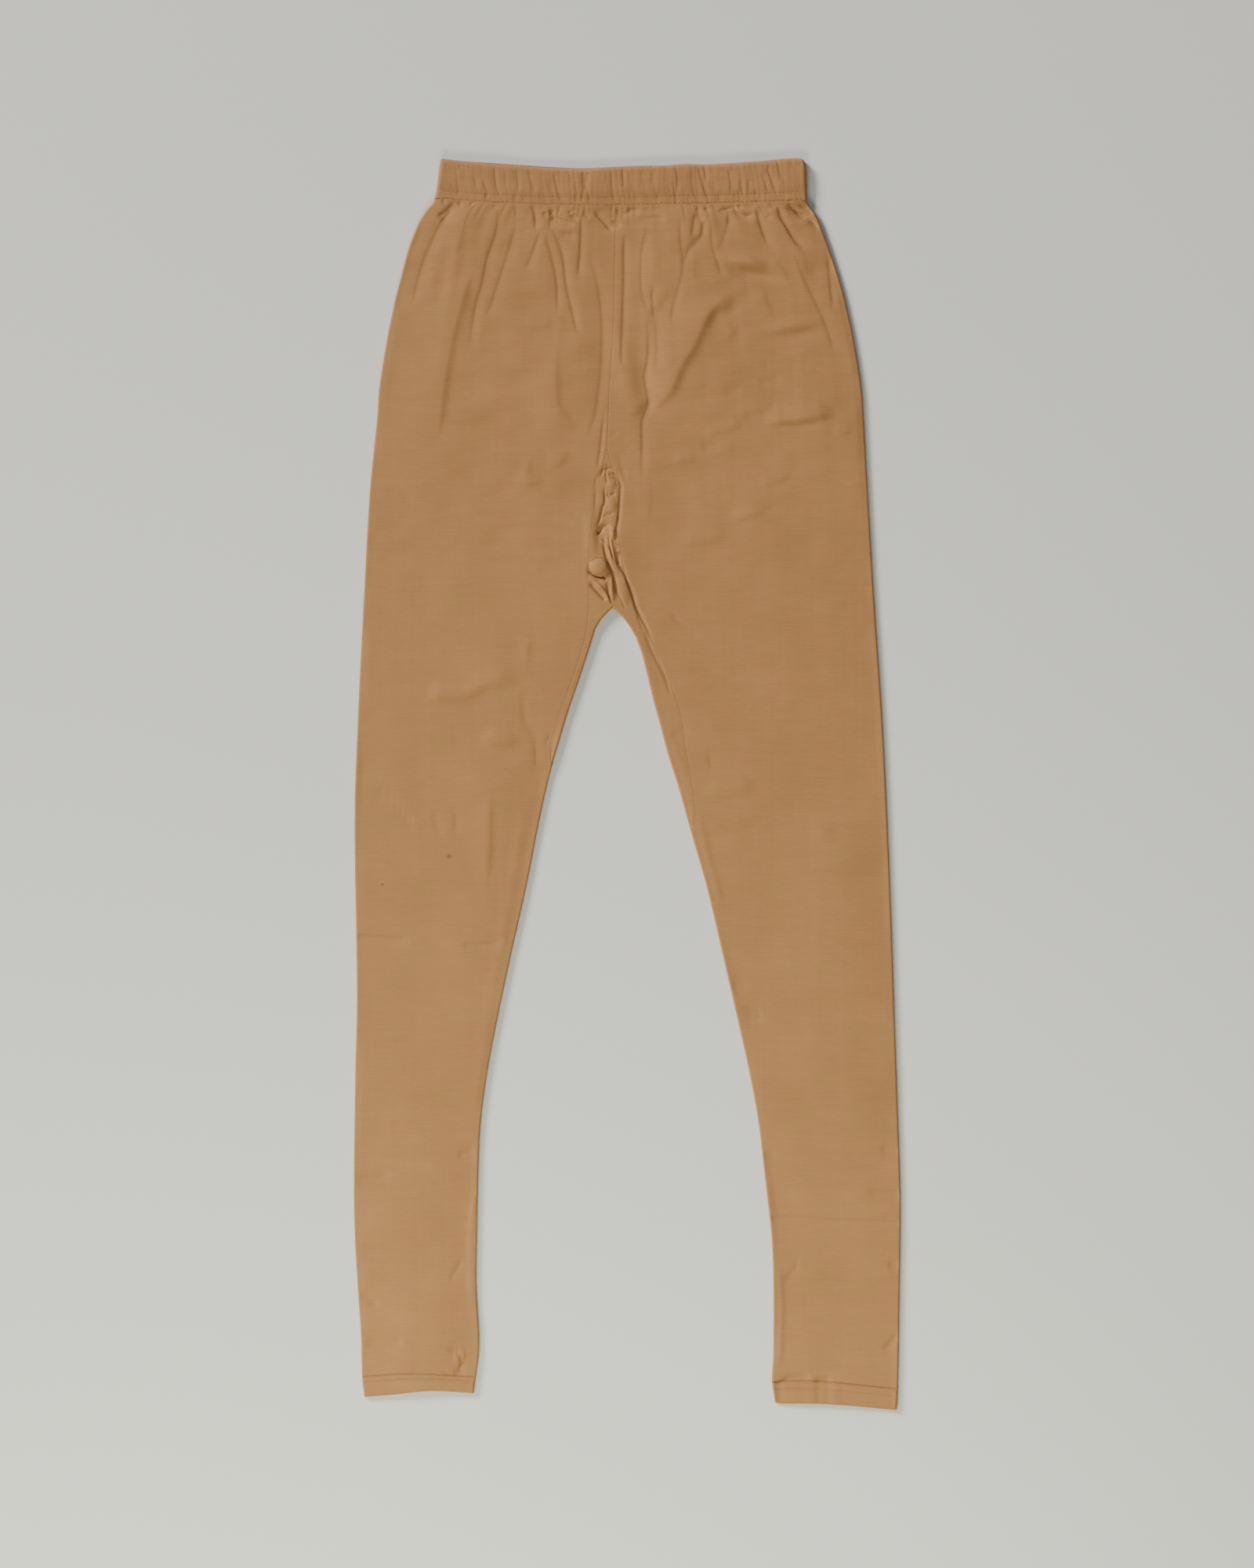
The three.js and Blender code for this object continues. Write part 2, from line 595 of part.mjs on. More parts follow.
// Section of a flat ring, such as the waistband or a hem: front, fold, back and fold
function ringRow({ left, right, height, wall, columns, innerColumns, backColumns, downAt, relief }) {
  const radius = height / 2;
  const place = (x, z, reading) => at(x, downAt(x), z, reading);
  const layer = (wallIn, frontColumns, extra) => {
    const front = range(frontColumns, (t) => {
      const x = mix(left + radius, right - radius, t);
      return place(x, height - wallIn + extra(x), t);
    });
    const rightRound = foldRound(right, 1, radius, wallIn, FOLD_STEPS, 1, place).slice(1);
    const back = range(backColumns, (t) => place(mix(right - radius, left + radius, t), wallIn, 2 + t)).slice(1);
    const leftRound = foldRound(left, -1, radius, wallIn, FOLD_STEPS, 3, place).reverse().slice(1, -1);
    const readLeft = leftRound.map((point, i) => ({ ...point, reading: 3 + (i + 1) / FOLD_STEPS }));
    return [...front, ...rightRound, ...back, ...readLeft];
  };
  return { outer: layer(0, columns, relief), inner: layer(wall, innerColumns, () => 0) };
}

function waistband() {
  const topEdge = smoothCurve(BAND_TOP, "x", "down");
  const leftEnd = smoothCurve(BAND_ENDS, "down", "left");
  const rightEnd = smoothCurve(BAND_ENDS, "down", "right");
  const rows = BAND_ROWS.map(({ share, height }) => {
    const downAt = (x) => mix(topEdge(x), waistSeam(x), share);
    const left = leftEnd(downAt(leftEnd(0)));
    const right = rightEnd(downAt(rightEnd(0)));
    const relief = (x) => {
      const inside = Math.min(x - left, right - x);
      const lean = BAND_LEAN * (share - 0.5) * ease(inside / BAND_LEAN_FADE);
      return BAND_GATHER_DEPTH * gatherSwell(x - lean) * ease(inside / BAND_HEIGHT - 0.5);
    };
    return ringRow({
      left,
      right,
      height: BAND_HEIGHT * height,
      wall: BAND_WALL,
      columns: FACETS_PER_GATHER * (CREASES.length - 1),
      innerColumns: BAND_BACK_COLUMNS,
      backColumns: BAND_BACK_COLUMNS,
      downAt,
      relief,
    });
  });
  return clothWall(rows, true);
}

function hem(name) {
  const { side, hemSeam, hemEdge } = LEGS[name];
  const seam = smoothCurve(hemSeam, "x", "down");
  const edge = smoothCurve(hemEdge, "x", "down");
  const rows = [0, 0.5, 1].map((share) => {
    const downAt = (x) => mix(seam(x), edge(x), share);
    const outer = outerFold[name](downAt(outerFold[name](LEGS[name].hemMiddle)));
    const inner = innerFold[name](downAt(innerFold[name](LEGS[name].hemMiddle)));
    return ringRow({
      left: side < 0 ? outer : inner,
      right: side < 0 ? inner : outer,
      height: HEM_HEIGHT,
      wall: HEM_WALL,
      columns: HEM_COLUMNS,
      innerColumns: BACK_COLUMNS,
      backColumns: BACK_COLUMNS,
      downAt,
      relief: () => 0,
    });
  });
  return clothWall(rows, true);
}

function piece(name, geometry, colour) {
  const material = new THREE.MeshStandardMaterial({ color: colour, roughness: CLOTH_ROUGHNESS, metalness: 0 });
  const mesh = new THREE.Mesh(geometry, material);
  mesh.name = name;
  return mesh;
}

const leggings = new THREE.Group();
leggings.add(piece("waistband", waistband(), COLOURS.band));
leggings.add(piece("gusset", clothWall(GUSSET_SECTIONS.map(gussetRow), false), COLOURS.gusset));
for (const name of Object.keys(LEGS)) {
  leggings.add(piece(`leg_${name}`, legPanel(name), COLOURS.leg));
  leggings.add(piece(`hem_${name}`, hem(name), COLOURS.hem));
}

export default leggings;
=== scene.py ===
import math

import bpy
import numpy as np
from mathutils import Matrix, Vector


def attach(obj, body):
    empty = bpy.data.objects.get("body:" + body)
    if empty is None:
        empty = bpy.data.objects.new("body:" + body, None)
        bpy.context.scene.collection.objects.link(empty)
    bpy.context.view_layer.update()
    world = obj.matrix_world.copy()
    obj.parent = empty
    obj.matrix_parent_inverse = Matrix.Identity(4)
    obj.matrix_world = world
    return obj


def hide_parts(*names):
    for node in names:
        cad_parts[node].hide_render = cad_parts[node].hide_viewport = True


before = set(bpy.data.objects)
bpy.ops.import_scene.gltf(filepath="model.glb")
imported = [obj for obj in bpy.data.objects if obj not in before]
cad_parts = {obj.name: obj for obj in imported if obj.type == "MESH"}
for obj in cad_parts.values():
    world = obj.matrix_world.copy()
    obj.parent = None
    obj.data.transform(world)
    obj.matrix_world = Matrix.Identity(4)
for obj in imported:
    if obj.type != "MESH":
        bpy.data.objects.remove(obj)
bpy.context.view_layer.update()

bl_info = {
    "name": "Leggings laid flat",
    "version": (1, 0, 0),
    "blender": (4, 5, 0),
    "location": "3D View > Sidebar > Leggings",
    "description": "Dresses the packed leggings with gathered and creased jersey, stitching and a stage",
    "category": "Object",
}

BODY = "root"
MM = 0.001

# Places are in millimetres: x across the garment, and "down" from the waistband's top corner
# towards the hems. The frame's Y is HALF_LENGTH - down.
LENGTH = 1022.0
HALF_LENGTH = LENGTH / 2
CENTRE_X = -10.0
# The wearer's right leg lies on the left here, at negative x
SIDES = ((-1, "right"), (1, "left"))

# Columns and rows of the cloth's grids, and the first steps away from a seam
FRONT_COLUMNS = 204
BACK_COLUMNS = 20
ROUND_COLUMNS = 9
BAND_COLUMNS = 640
GUSSET_ROWS = 400
GUSSET_COLUMNS = 104
EDGE_STEPS = np.array([0, 0.25, 0.55, 1.0, 1.6, 2.4])

# Gaps between the pieces and under the back layer
SEAM_GAP = 0.03
HEM_GAP = 0.04
BACK_LIFT = 0.02
# Grooves along the seams, how far a seam's edge turns in, and the walls of casing and hems
EDGE_DIP = 0.10
WAIST_DIP = 0.03
DIP_WIDTH = 0.8
LIP_DEPTH = 1.4
CASING_WALL = 1.7
HEM_WALL = 0.9
# How the cloth rises: from its folds to its crown, at the gathered waist, and where the crotch
# has crumpled
CROWN_REACH = 40
CROWN_HEIGHT = 0.6
PUFF_REACH = 50
CROTCH_BULK = (-14, 338, 20, 42, 2.2)  # x, down, half width, half length, height
# Gathers: share of their depth on the casing and on the legs, and how puckers die away below
CASING_SWELL = 0.42
LEG_SWELL = 0.28
PUCKER_REACH = 10
PUCKER_WIDTH = 1.4
# Stitches: the space between two of them, and the height of their middle above the cloth
STITCH_SPACE = 0.9
STITCH_LIFT = 0.05
# Rows of stitching, as shares of the depth of the casing and of each hem
BAND_STITCH_SHARE = 0.79
LOWER_STITCH_SHARE = 0.97
HEM_STITCH_SHARES = {-1: (0.05, 0.30), 1: (0.04, 0.36)}

# Outer folds of both legs
OUTER_FOLDS = np.array([
    # down, right leg x, left leg x
    (34, -157.2, 146.9), (38, -159.2, 147.4), (45.5, -165.4, 153.2), (57, -171.8, 158.5),
    (76, -178.9, 165.4), (95, -184.0, 171.8), (115, -189.1, 177.6), (153, -196.8, 185.9),
    (191, -202.6, 191.7), (211, -203.8, 193.0), (268, -209.6, 196.2), (345, -214.1, 200.6),
    (460, -219.8, 208.3), (537, -222.4, 212.2), (633, -221.1, 216.0), (691, -220.5, 217.9),
    (748, -221.8, 219.8), (845, -223.0, 223.0), (883, -222.0, 223.0), (921, -219.8, 222.4),
    (960, -217.2, 221.8), (998, -216.0, 221.1), (1022, -212.5, 219.8),
])
# Inner folds of both legs below the gusset
INNER_FOLDS = np.array([
    # down, right leg x, left leg x
    (460, -50.9, 25.9), (479, -56.0, 31.2), (500, -62.2, 37.8), (537, -70.7, 48.3),
    (595, -82.2, 65.0), (652, -95.0, 78.4), (710, -107.2, 91.8), (748, -114.2, 100.2),
    (787, -119.4, 107.2), (825, -121.3, 111.7), (883, -122.6, 118.1), (921, -123.0, 119.4),
    (960, -120.8, 119.4), (979, -121.2, 119.2), (998, -123.8, 118.1), (1016, -125.4, 120.6),
])
# Centre-front seam above the gusset's tip
CENTRE_SEAM = np.array([
    # down, x
    (30, -9.0), (127, -10.6), (152, -11.8), (188, -14.4), (225, -15.7),
])
# Gusset sections from its tip on the right leg, over the crotch, to its tip on the left leg
GUSSET_SECTIONS = np.array([
    # seam x, seam down, arch x, arch down
    (-62.0, 494, -60.6, 494.0), (-62.6, 478, -55.7, 478.0), (-56.0, 455, -49.0, 455.0),
    (-45.8, 429, -40.0, 429.0), (-38.1, 406, -32.3, 406.0), (-33.0, 387, -25.9, 385.0),
    (-31.0, 367, -21.4, 377.6),
    (-31.7, 342, -18.2, 373.8), (-30.4, 313, -15.7, 371.2), (-25.3, 276, -13.8, 369.3),
    (-16.3, 238, -11.8, 367.4), (-8.2, 268, -9.3, 369.3), (-6.4, 313, -6.7, 371.8),
    (-1.6, 342, -2.9, 375.7), (8.0, 367, 2.2, 382.7), (15.7, 381, 7.4, 391.7),
    (22.7, 400, 11.8, 403.8), (30.4, 422, 17.0, 424.3), (38.7, 437, 21.4, 442.9),
    (44.5, 457, 26.6, 461.4), (48.3, 485, 33.0, 485.8), (52.8, 511, 41.3, 511.4),
    (56.0, 534, 47.7, 534.0), (53.2, 549, 51.8, 549.0),
])
GUSSET_TIP_ROW = 10
# Height of the casing at the waist seam, as a share of its full height
BAND_SEAM_SHARE = 0.87
WAIST_SEAM = np.array([
    # x, down
    (-157, 33.9), (-100, 37.5), (-35, 39.2), (0, 39.0), (60, 38.0), (110, 36.6), (147, 35.2),
])
WAIST_SEAM_MIDDLE = 39.0
BAND_TOP = np.array([
    # x, down
    (-152, 0.9), (-119, 4.5), (-85, 7.0), (-52, 9.0), (-35, 9.5), (-18, 7.9), (14, 6.5),
    (31, 6.4), (48, 5.2), (64, 5.5), (98, 3.6), (114, 2.4), (131, 0.7), (147, 0.2),
])
BAND_ENDS = np.array([
    # down, left end x, right end x
    (0, -152.0, 140.5), (1.2, -152.1, 142.6), (2.5, -152.3, 144.2), (7, -152.9, 146.0),
    (18, -154.3, 146.6), (30, -155.8, 146.9), (36, -157.2, 146.9),
])
# Down from the waistband's top corner to the lower ends of its folds
BAND_FOOT = 36
# Where each leg, right (-1) and left (1), meets its hem, and the hem's lower edge
HEM_SEAMS = {
    # x, down
    -1: np.array([(-216, 994), (-177, 991.4), (-124, 994)]),
    1: np.array([(118, 998.4), (150, 997.2), (221, 1004)]),
}
HEM_EDGES = {
    # x, down
    -1: np.array([(-216, 1011.2), (-190, 1009), (-160, 1006.2), (-125, 1008)]),
    1: np.array([(119, 1015.4), (126, 1016.4), (152, 1016.6), (181, 1018.2), (221, 1022)]),
}
HEM_MIDDLES = {-1: 993.0, 1: 999.0}
HEM_DEPTH = 17.0
# A row that both hems reach, where their width is read
HEM_ROW = 1000.0
# Groups of like gathers along the casing, from left to right
GATHER_GROUPS = [
    # first x, last x, count, depth
    (-152, -138, 1, 0.4), (-138, -116, 3, 0.8), (-116, -90, 3, 0.9), (-90, -77, 1, 0.8),
    (-77, -46, 4, 1.0), (-46, -33, 3, 1.3), (-33, -12, 1, 0.5), (-12, 6, 4, 1.0),
    (6, 23, 2, 0.9), (23, 57, 3, 0.9), (57, 71, 2, 1.3), (71, 94, 3, 0.6),
    (94, 122, 6, 0.7), (122, 147, 4, 0.6),
]

# Sections of thin creases: a narrow groove in a wide shallow valley
CREASE_SECTIONS = {
    # name: groove's width, valley's depth, valley's reach
    "fine": (1.1, 0.25, 2.5),
    "soft": (1.4, 0.3, 3.0),
    "deep": (1.2, 0.45, 3.0),
    "long": (1.2, 0.35, 4.0),
    "broad": (1.5, 0.4, 5.4),
    "press": (1.05, 0.35, 2.5),
    "nip": (0.85, 0.1, 2.2),
    "tuck": (1.3, 0.1, 2.5),
}
# Sections of soft folds
FOLD_SECTIONS = {
    # name: width of the steep side, reach of the slow side
    "short": (2.5, 6.0),
    "middle": (3.2, 10.0),
    "long": (4.6, 16.0),
    "main": (5.0, 20.0),
}

# Thin creases of the front, along lines of (x, down) points
CREASES = [
    # line, groove's dip, section
    ([(-155.5, 48.5), (-148, 43), (-140, 35)], 0.7, "deep"),
    ([(-152, 36.5), (-148, 34)], 0.5, "fine"),
    ([(-153, 54), (-143, 42)], 0.3, "fine"),
    ([(-139, 38.5), (-134.5, 36)], 0.6, "fine"),
    ([(-128.5, 37.5), (-127, 40.5)], 0.6, "fine"),
    ([(-109, 38), (-108, 44)], 0.3, "fine"),
    ([(-91, 39), (-91.5, 50)], 0.3, "fine"),
    ([(-78.5, 39), (-76, 46), (-75, 60)], 0.6, "deep"),
    ([(-70, 46.5), (-64.5, 44.5)], 0.5, "fine"),
    ([(-64, 44), (-58.5, 43)], 0.8, "fine"),
    ([(-63, 43), (-63, 49), (-64, 60)], 0.4, "deep"),
    ([(-62, 48), (-55, 50), (-42, 55)], 1.1, "fine"),
    ([(-56, 61), (-41, 62.5)], 0.5, "soft"),
    ([(-48, 44.5), (-46.5, 47)], 0.5, "fine"),
    ([(-47.5, 46), (-43, 48), (-38.5, 49.5)], 0.6, "fine"),
    ([(-38.3, 47), (-38, 62), (-39, 81), (-41, 100)], 0.5, "long"),
    ([(-36.5, 45.5), (-31, 51)], 0.4, "fine"),
    ([(-28, 44.5), (-20, 53), (-12, 62)], 0.8, "deep"),
    ([(-13.5, 52), (-8, 53), (-3.5, 56)], 0.9, "fine"),
    ([(-9, 41.5), (-4, 45), (3, 45)], 1.0, "fine"),
    ([(-1, 42.3), (11, 42)], 0.6, "fine"),
    ([(8, 48.5), (16, 49.5), (24, 48.5), (33, 51)], 0.4, "soft"),
    ([(55.5, 44), (54, 52), (52, 66)], 0.4, "fine"),
    ([(58.5, 39.5), (55.5, 45)], 0.4, "fine"),
    ([(63.2, 41), (63, 44.5)], 0.7, "fine"),
    ([(57, 45.5), (60, 48.5), (63, 49.5)], 0.6, "fine"),
    ([(61.3, 48), (61, 58), (59, 65), (50, 75), (46, 87)], 0.6, "long"),
    ([(76, 42.5), (82, 41.3), (90, 40)], 1.1, "fine"),
    ([(74, 45), (77.5, 42)], 0.4, "fine"),
    ([(82.3, 42), (82, 57)], 0.4, "fine"),
    ([(87, 41), (91, 45), (96, 47), (104.5, 45)], 1.5, "deep"),
    ([(90, 38.5), (91.5, 43.5)], 0.6, "fine"),
    ([(94, 39.5), (105, 39)], 0.4, "fine"),
    ([(104.7, 42), (107, 52), (109.5, 60), (115, 73)], 0.6, "long"),
    ([(109, 37.5), (113, 41), (118, 41.5)], 0.5, "fine"),
    ([(114.5, 37), (120, 39), (122.5, 42)], 0.7, "fine"),
    ([(121.5, 37), (124, 48), (130, 58), (136, 68), (145, 77)], 1.1, "broad"),
    ([(111, 50), (118, 46.5)], 0.3, "soft"),
    ([(131.5, 36.5), (137, 43), (144, 46), (151, 50.5), (158, 60)], 1.5, "deep"),
    ([(134, 38), (139, 47), (146, 52)], 1.1, "deep"),
    ([(144.8, 37), (147.5, 43)], 0.6, "fine"),
    ([(140, 37.5), (147, 42), (153, 46)], 1.2, "fine"),
    ([(-137, 36), (-151, 52), (-164, 79), (-172, 104), (-175, 121)], 0.3, "broad"),
    ([(-105, 40), (-107, 61), (-114, 81), (-119, 105), (-124, 122), (-130, 161)], 0.4, "broad"),
    ([(-90, 51), (-97, 76), (-104, 98), (-111, 119), (-117, 130)], 0.3, "broad"),
    ([(-71, 60), (-77, 77), (-84, 93)], 0.3, "long"),
    ([(-68, 62), (-62, 81), (-58, 102), (-57, 130)], 0.4, "long"),
    ([(-62, 56), (-53, 81), (-50, 105), (-45, 126), (-40, 148)], 0.5, "long"),
    ([(-32, 77), (-25, 102), (-21, 130), (-21, 159),
      (-23, 186), (-27, 212), (-34, 230)], 0.3, "broad"),
    ([(-2, 61), (-3, 76), (-3, 99), (-4, 133), (-5, 159), (-4, 173)], 0.5, "long"),
    ([(16, 58), (12, 75), (11, 92), (12, 112), (18, 127)], 0.3, "long"),
    ([(20, 105), (21, 131)], 0.5, "soft"),
    ([(22, 115), (30, 110)], 0.2, "soft"),
    ([(23, 133), (24, 154), (23, 175)], 0.2, "soft"),
    ([(16, 131), (17, 159), (14, 179), (17, 200), (12, 216), (12, 239), (11, 262)], 0.5, "long"),
    ([(43, 45), (43, 67), (45, 81), (44, 98), (37, 123), (36, 138)], 0.3, "long"),
    ([(68, 52), (69, 72), (74, 88), (77, 98)], 0.3, "long"),
    ([(83, 49), (78, 67), (73, 76)], 0.2, "soft"),
    ([(134, 74), (144, 99), (152, 116), (160, 133), (165, 147), (168, 162)], 0.3, "broad"),
    ([(163, 80), (165, 100), (167.5, 125)], 0.5, "soft"),
    ([(108, 168), (142, 168)], 0.2, "soft"),
    ([(106, 181), (127, 180)], 0.2, "soft"),
    ([(117, 219), (140, 216.5), (160, 213)], 0.3, "soft"),
    ([(78, 188), (95, 188)], 0.2, "soft"),
    ([(94, 210), (116, 207)], 0.2, "soft"),
    ([(59, 235), (77, 233)], 0.2, "soft"),
    ([(36, 371), (48, 382), (61, 391)], 0.2, "fine"),
    ([(-87, 438), (-84, 460), (-76, 477), (-75, 502)], 0.3, "soft"),
    ([(-68, 479), (-62, 468)], 0.3, "soft"),
    ([(34, 471), (52, 465)], 0.2, "soft"),
    ([(65, 486), (69, 500)], 0.2, "soft"),
    ([(-206, 514), (-189, 527), (-171, 548)], 0.4, "long"),
    ([(-161, 536), (-151, 555)], 0.4, "soft"),
    ([(-142, 536), (-139, 551)], 0.4, "soft"),
    ([(-222, 634), (-198, 636), (-176, 637)], 0.8, "press"),
    ([(-136, 641), (-118, 641), (-101, 639)], 0.6, "press"),
    ([(-139, 813), (-124, 808)], 0.7, "press"),
    ([(-222, 833), (-192, 828)], 0.6, "press"),
    ([(-217, 925), (-209, 929), (-201, 935)], 0.8, "deep"),
    ([(-214, 963), (-198, 965), (-182, 964)], 0.7, "deep"),
    ([(-146, 916), (-135, 899)], 0.5, "press"),
    ([(100, 864), (145, 864), (167, 866), (240, 868)], 0.6, "press"),
    ([(132, 824), (178, 825), (220, 822)], 0.4, "soft"),
    ([(206, 806), (230, 811)], 0.5, "press"),
    ([(196, 842), (230, 845)], 0.4, "press"),
    ([(212, 903), (222, 900)], 0.7, "press"),
    ([(207, 973), (230, 950)], 0.6, "press"),
    ([(102, 816), (122, 810)], 0.4, "press"),
    ([(84, 674), (99, 671)], 0.6, "press"),
    ([(95, 698), (112, 697)], 0.6, "press"),
    ([(128, 916), (140, 900)], 0.4, "soft"),
    ([(-141, 974), (-136, 980), (-138, 990)], 0.9, "press"),
    ([(-147, 972), (-139, 972), (-134, 976)], 0.7, "press"),
    ([(119, 999), (134, 994.5), (150, 993)], 1.3, "press"),
    ([(152, 996.5), (168, 995.5)], 0.9, "press"),
    ([(-142, 990), (-131, 989)], 0.9, "press"),
]

# Soft folds: low ridges that fall off steeply on their lower right and slowly on their upper left
FOLDS = [
    # line along the steep side, height, section
    ([(-128, 44), (-135, 67), (-137, 81)], 0.5, "middle"),
    ([(-124, 95), (-132, 116), (-139, 142), (-144, 168), (-148, 195), (-151, 232)], 1.2, "long"),
    ([(-86, 139), (-58, 139)], 0.3, "short"),
    ([(-53, 148), (-56, 175), (-55, 200), (-48, 212), (-39, 214)], 0.8, "long"),
    ([(-44, 237), (-53, 249), (-64, 258)], 0.6, "middle"),
    ([(-97, 264), (-82, 267), (-65, 266)], 0.9, "middle"),
    ([(-90, 256), (-76, 258)], 0.3, "short"),
    ([(118, 80), (126, 90), (134, 101)], 0.5, "short"),
    ([(84, 119), (74, 123), (65, 136), (57, 154), (46, 172), (39, 189), (30, 201), (21, 211)], 1.8, "main"),
    ([(111, 100), (115, 121), (123, 134)], 0.5, "middle"),
    ([(80, 149), (93, 140)], 0.5, "short"),
    ([(110, 219), (141, 216), (172, 211)], 1.5, "middle"),
    ([(60, 229), (80, 224), (97, 217)], 0.6, "short"),
    ([(35, 251), (60, 246)], 0.5, "short"),
    ([(167, 229), (187, 222)], 0.6, "short"),
    ([(106, 269), (120, 266), (136, 260)], 0.6, "short"),
    ([(83, 297), (100, 293), (120, 285)], 0.7, "middle"),
    ([(38, 318), (87, 311)], 0.7, "middle"),
    ([(20, 260), (18, 301)], 0.3, "middle"),
    ([(-166, 444), (-148, 442), (-130, 440), (-110, 431), (-88, 433)], 1.5, "middle"),
    ([(-124, 477), (-104, 479), (-83, 476)], 1.2, "middle"),
    ([(-78, 390), (-80, 402), (-78, 415)], 0.5, "short"),
    ([(58, 521), (84, 519), (109, 515)], 1.2, "middle"),
    ([(-110, 520), (-111, 555), (-112, 592)], 0.7, "middle"),
    ([(143, 556), (176, 556)], 0.5, "middle"),
]

# The crumpled crotch, as grooves, or ridges where the dip is below 0
CRUMPLES = [
    # line, dip, width
    ([(-18, 205), (-21, 235), (-22.5, 245), (-23.5, 253)], 0.6, 1.3),
    ([(-24, 259), (-25.5, 268), (-25.5, 288)], 0.4, 1.4),
    ([(-7, 240), (-3.5, 255), (-2, 264)], 0.3, 2.2),
    ([(-14, 261.5), (-9, 261.5), (-6, 264), (-5, 269),
      (-6, 285), (-6.5, 292), (-8, 302), (-9, 316)], 1.1, 1.3),
    ([(-24.5, 260), (-21, 258), (-18, 253.5), (-9, 255)], 1.0, 1.1),
    ([(-15.5, 259), (-5, 258)], 0.7, 1.1),
    ([(-17, 252), (-17, 259), (-16, 266)], 0.6, 0.9),
    ([(-14, 227), (-7, 226)], 0.4, 1.0),
    ([(-18.5, 268), (-18, 280), (-20, 286), (-21.5, 293), (-24, 301)], 1.3, 1.1),
    ([(-16, 273), (-15.5, 275.5), (-13, 275.5), (-9, 273)], 1.2, 1.0),
    ([(-20, 293), (-15, 291), (-11, 290)], 1.0, 1.0),
    ([(-19, 296), (-13, 294)], 0.4, 0.9),
    ([(-25, 307), (-22, 305), (-19.5, 301), (-13, 300)], 1.9, 1.7),
    ([(-22.5, 311), (-17.5, 316), (-14, 322), (-12, 330)], -0.9, 1.1),
    ([(-13.5, 310), (-12.5, 317), (-10.5, 326)], -0.9, 1.0),
    ([(-15, 309), (-13.5, 317), (-11.5, 328)], 0.9, 0.9),
    ([(-12, 303), (-11.5, 312)], -0.5, 1.6),
    ([(-19, 307), (-18.5, 316), (-17, 325), (-14, 333),
      (-11, 340), (-9.5, 347), (-8.3, 354), (-5, 361)], 1.6, 1.5),
    ([(-9, 314), (-8, 325), (-6.5, 332), (-2.5, 338), (0, 345), (3, 352),
      (5.5, 360), (8, 368), (12, 376), (17, 386), (21, 398)], 1.4, 1.5),
    ([(-7, 322), (-6, 333)], 0.7, 2.6),
    ([(-33, 336), (-29, 339), (-25, 341.6), (-21, 343), (-18, 342)], 2.4, 1.5),
    ([(-20, 341), (-18.4, 343), (-17.6, 346)], 1.2, 1.2),
    ([(-32, 342), (-24, 348.5), (-19, 354), (-16, 359), (-12.5, 365)], -1.3, 1.6),
    ([(-31, 346), (-26, 351.5), (-21.5, 356.5), (-17, 361)], 1.9, 1.9),
    ([(-20, 361), (-17, 360)], 0.7, 0.8),
    ([(-16.5, 347), (-15.5, 353), (-14, 359), (-11.5, 366)], 0.9, 1.0),
    ([(-12.6, 342), (-12.3, 352), (-11.4, 364)], -0.9, 1.6),
    ([(-6.5, 356), (-4, 362), (-1, 369)], 0.5, 1.0),
    ([(-1.5, 341), (-0.5, 348)], -0.5, 1.4),
    ([(8, 372), (11, 380), (14, 387)], 0.4, 1.3),
    ([(13, 384), (21, 403), (31, 424), (36, 440)], 0.6, 1.5),
    ([(44, 450), (48, 486), (52, 508)], 0.1, 1.6),
]

# Soft slopes, where a patch of cloth tips down across its length and eases back on both sides
SLOPES = [
    # x, down, half length, half width, then in degrees (0 to the right, 90 down) the way that the
    # patch runs and the way that it faces, height
    (100, 90.5, 17, 6, 15, 100, 5.6),
    (80, 122, 13, 7, -34, 56, 1.6),
    (6, 176, 34, 10, -100, -10, 2.0),
    (13, 203, 9, 5, -45, 45, 0.9),
    (138, 141, 20, 5.5, -6, 80, 2.2),
    (27, 120, 12, 6, -60, 30, 1.2),
    (-48, 61, 12, 4, 5, 95, 0.7),
    (-83, 113, 12, 6, 10, 80, 0.9),
    (151, 87, 11, 8, 20, 60, 1.1),
    (-25.5, 309, 17, 6.5, -92, -2, 2.4),
]

# Mounds and hollows of the crumpled crotch
MOUNDS = [
    # x, down, half width, half length, height, fullness (below 1 is steep at the rim)
    (-22.8, 334.2, 8.2, 7.8, 3.6, 0.55),
    (-12.8, 267.0, 4.2, 4.5, 0.8, 1.2),
    (-12.5, 284.0, 4.5, 7.0, 0.8, 1.2),
    (-11.5, 306.0, 3.0, 6.0, 0.9, 1.2),
    (-2.0, 352.0, 6.0, 15.0, 0.8, 1.2),
    (-20.0, 349.0, 6.0, 5.0, 0.8, 1.2),
    (-136.5, 978.0, 5.5, 5.5, 1.6, 0.9),
]

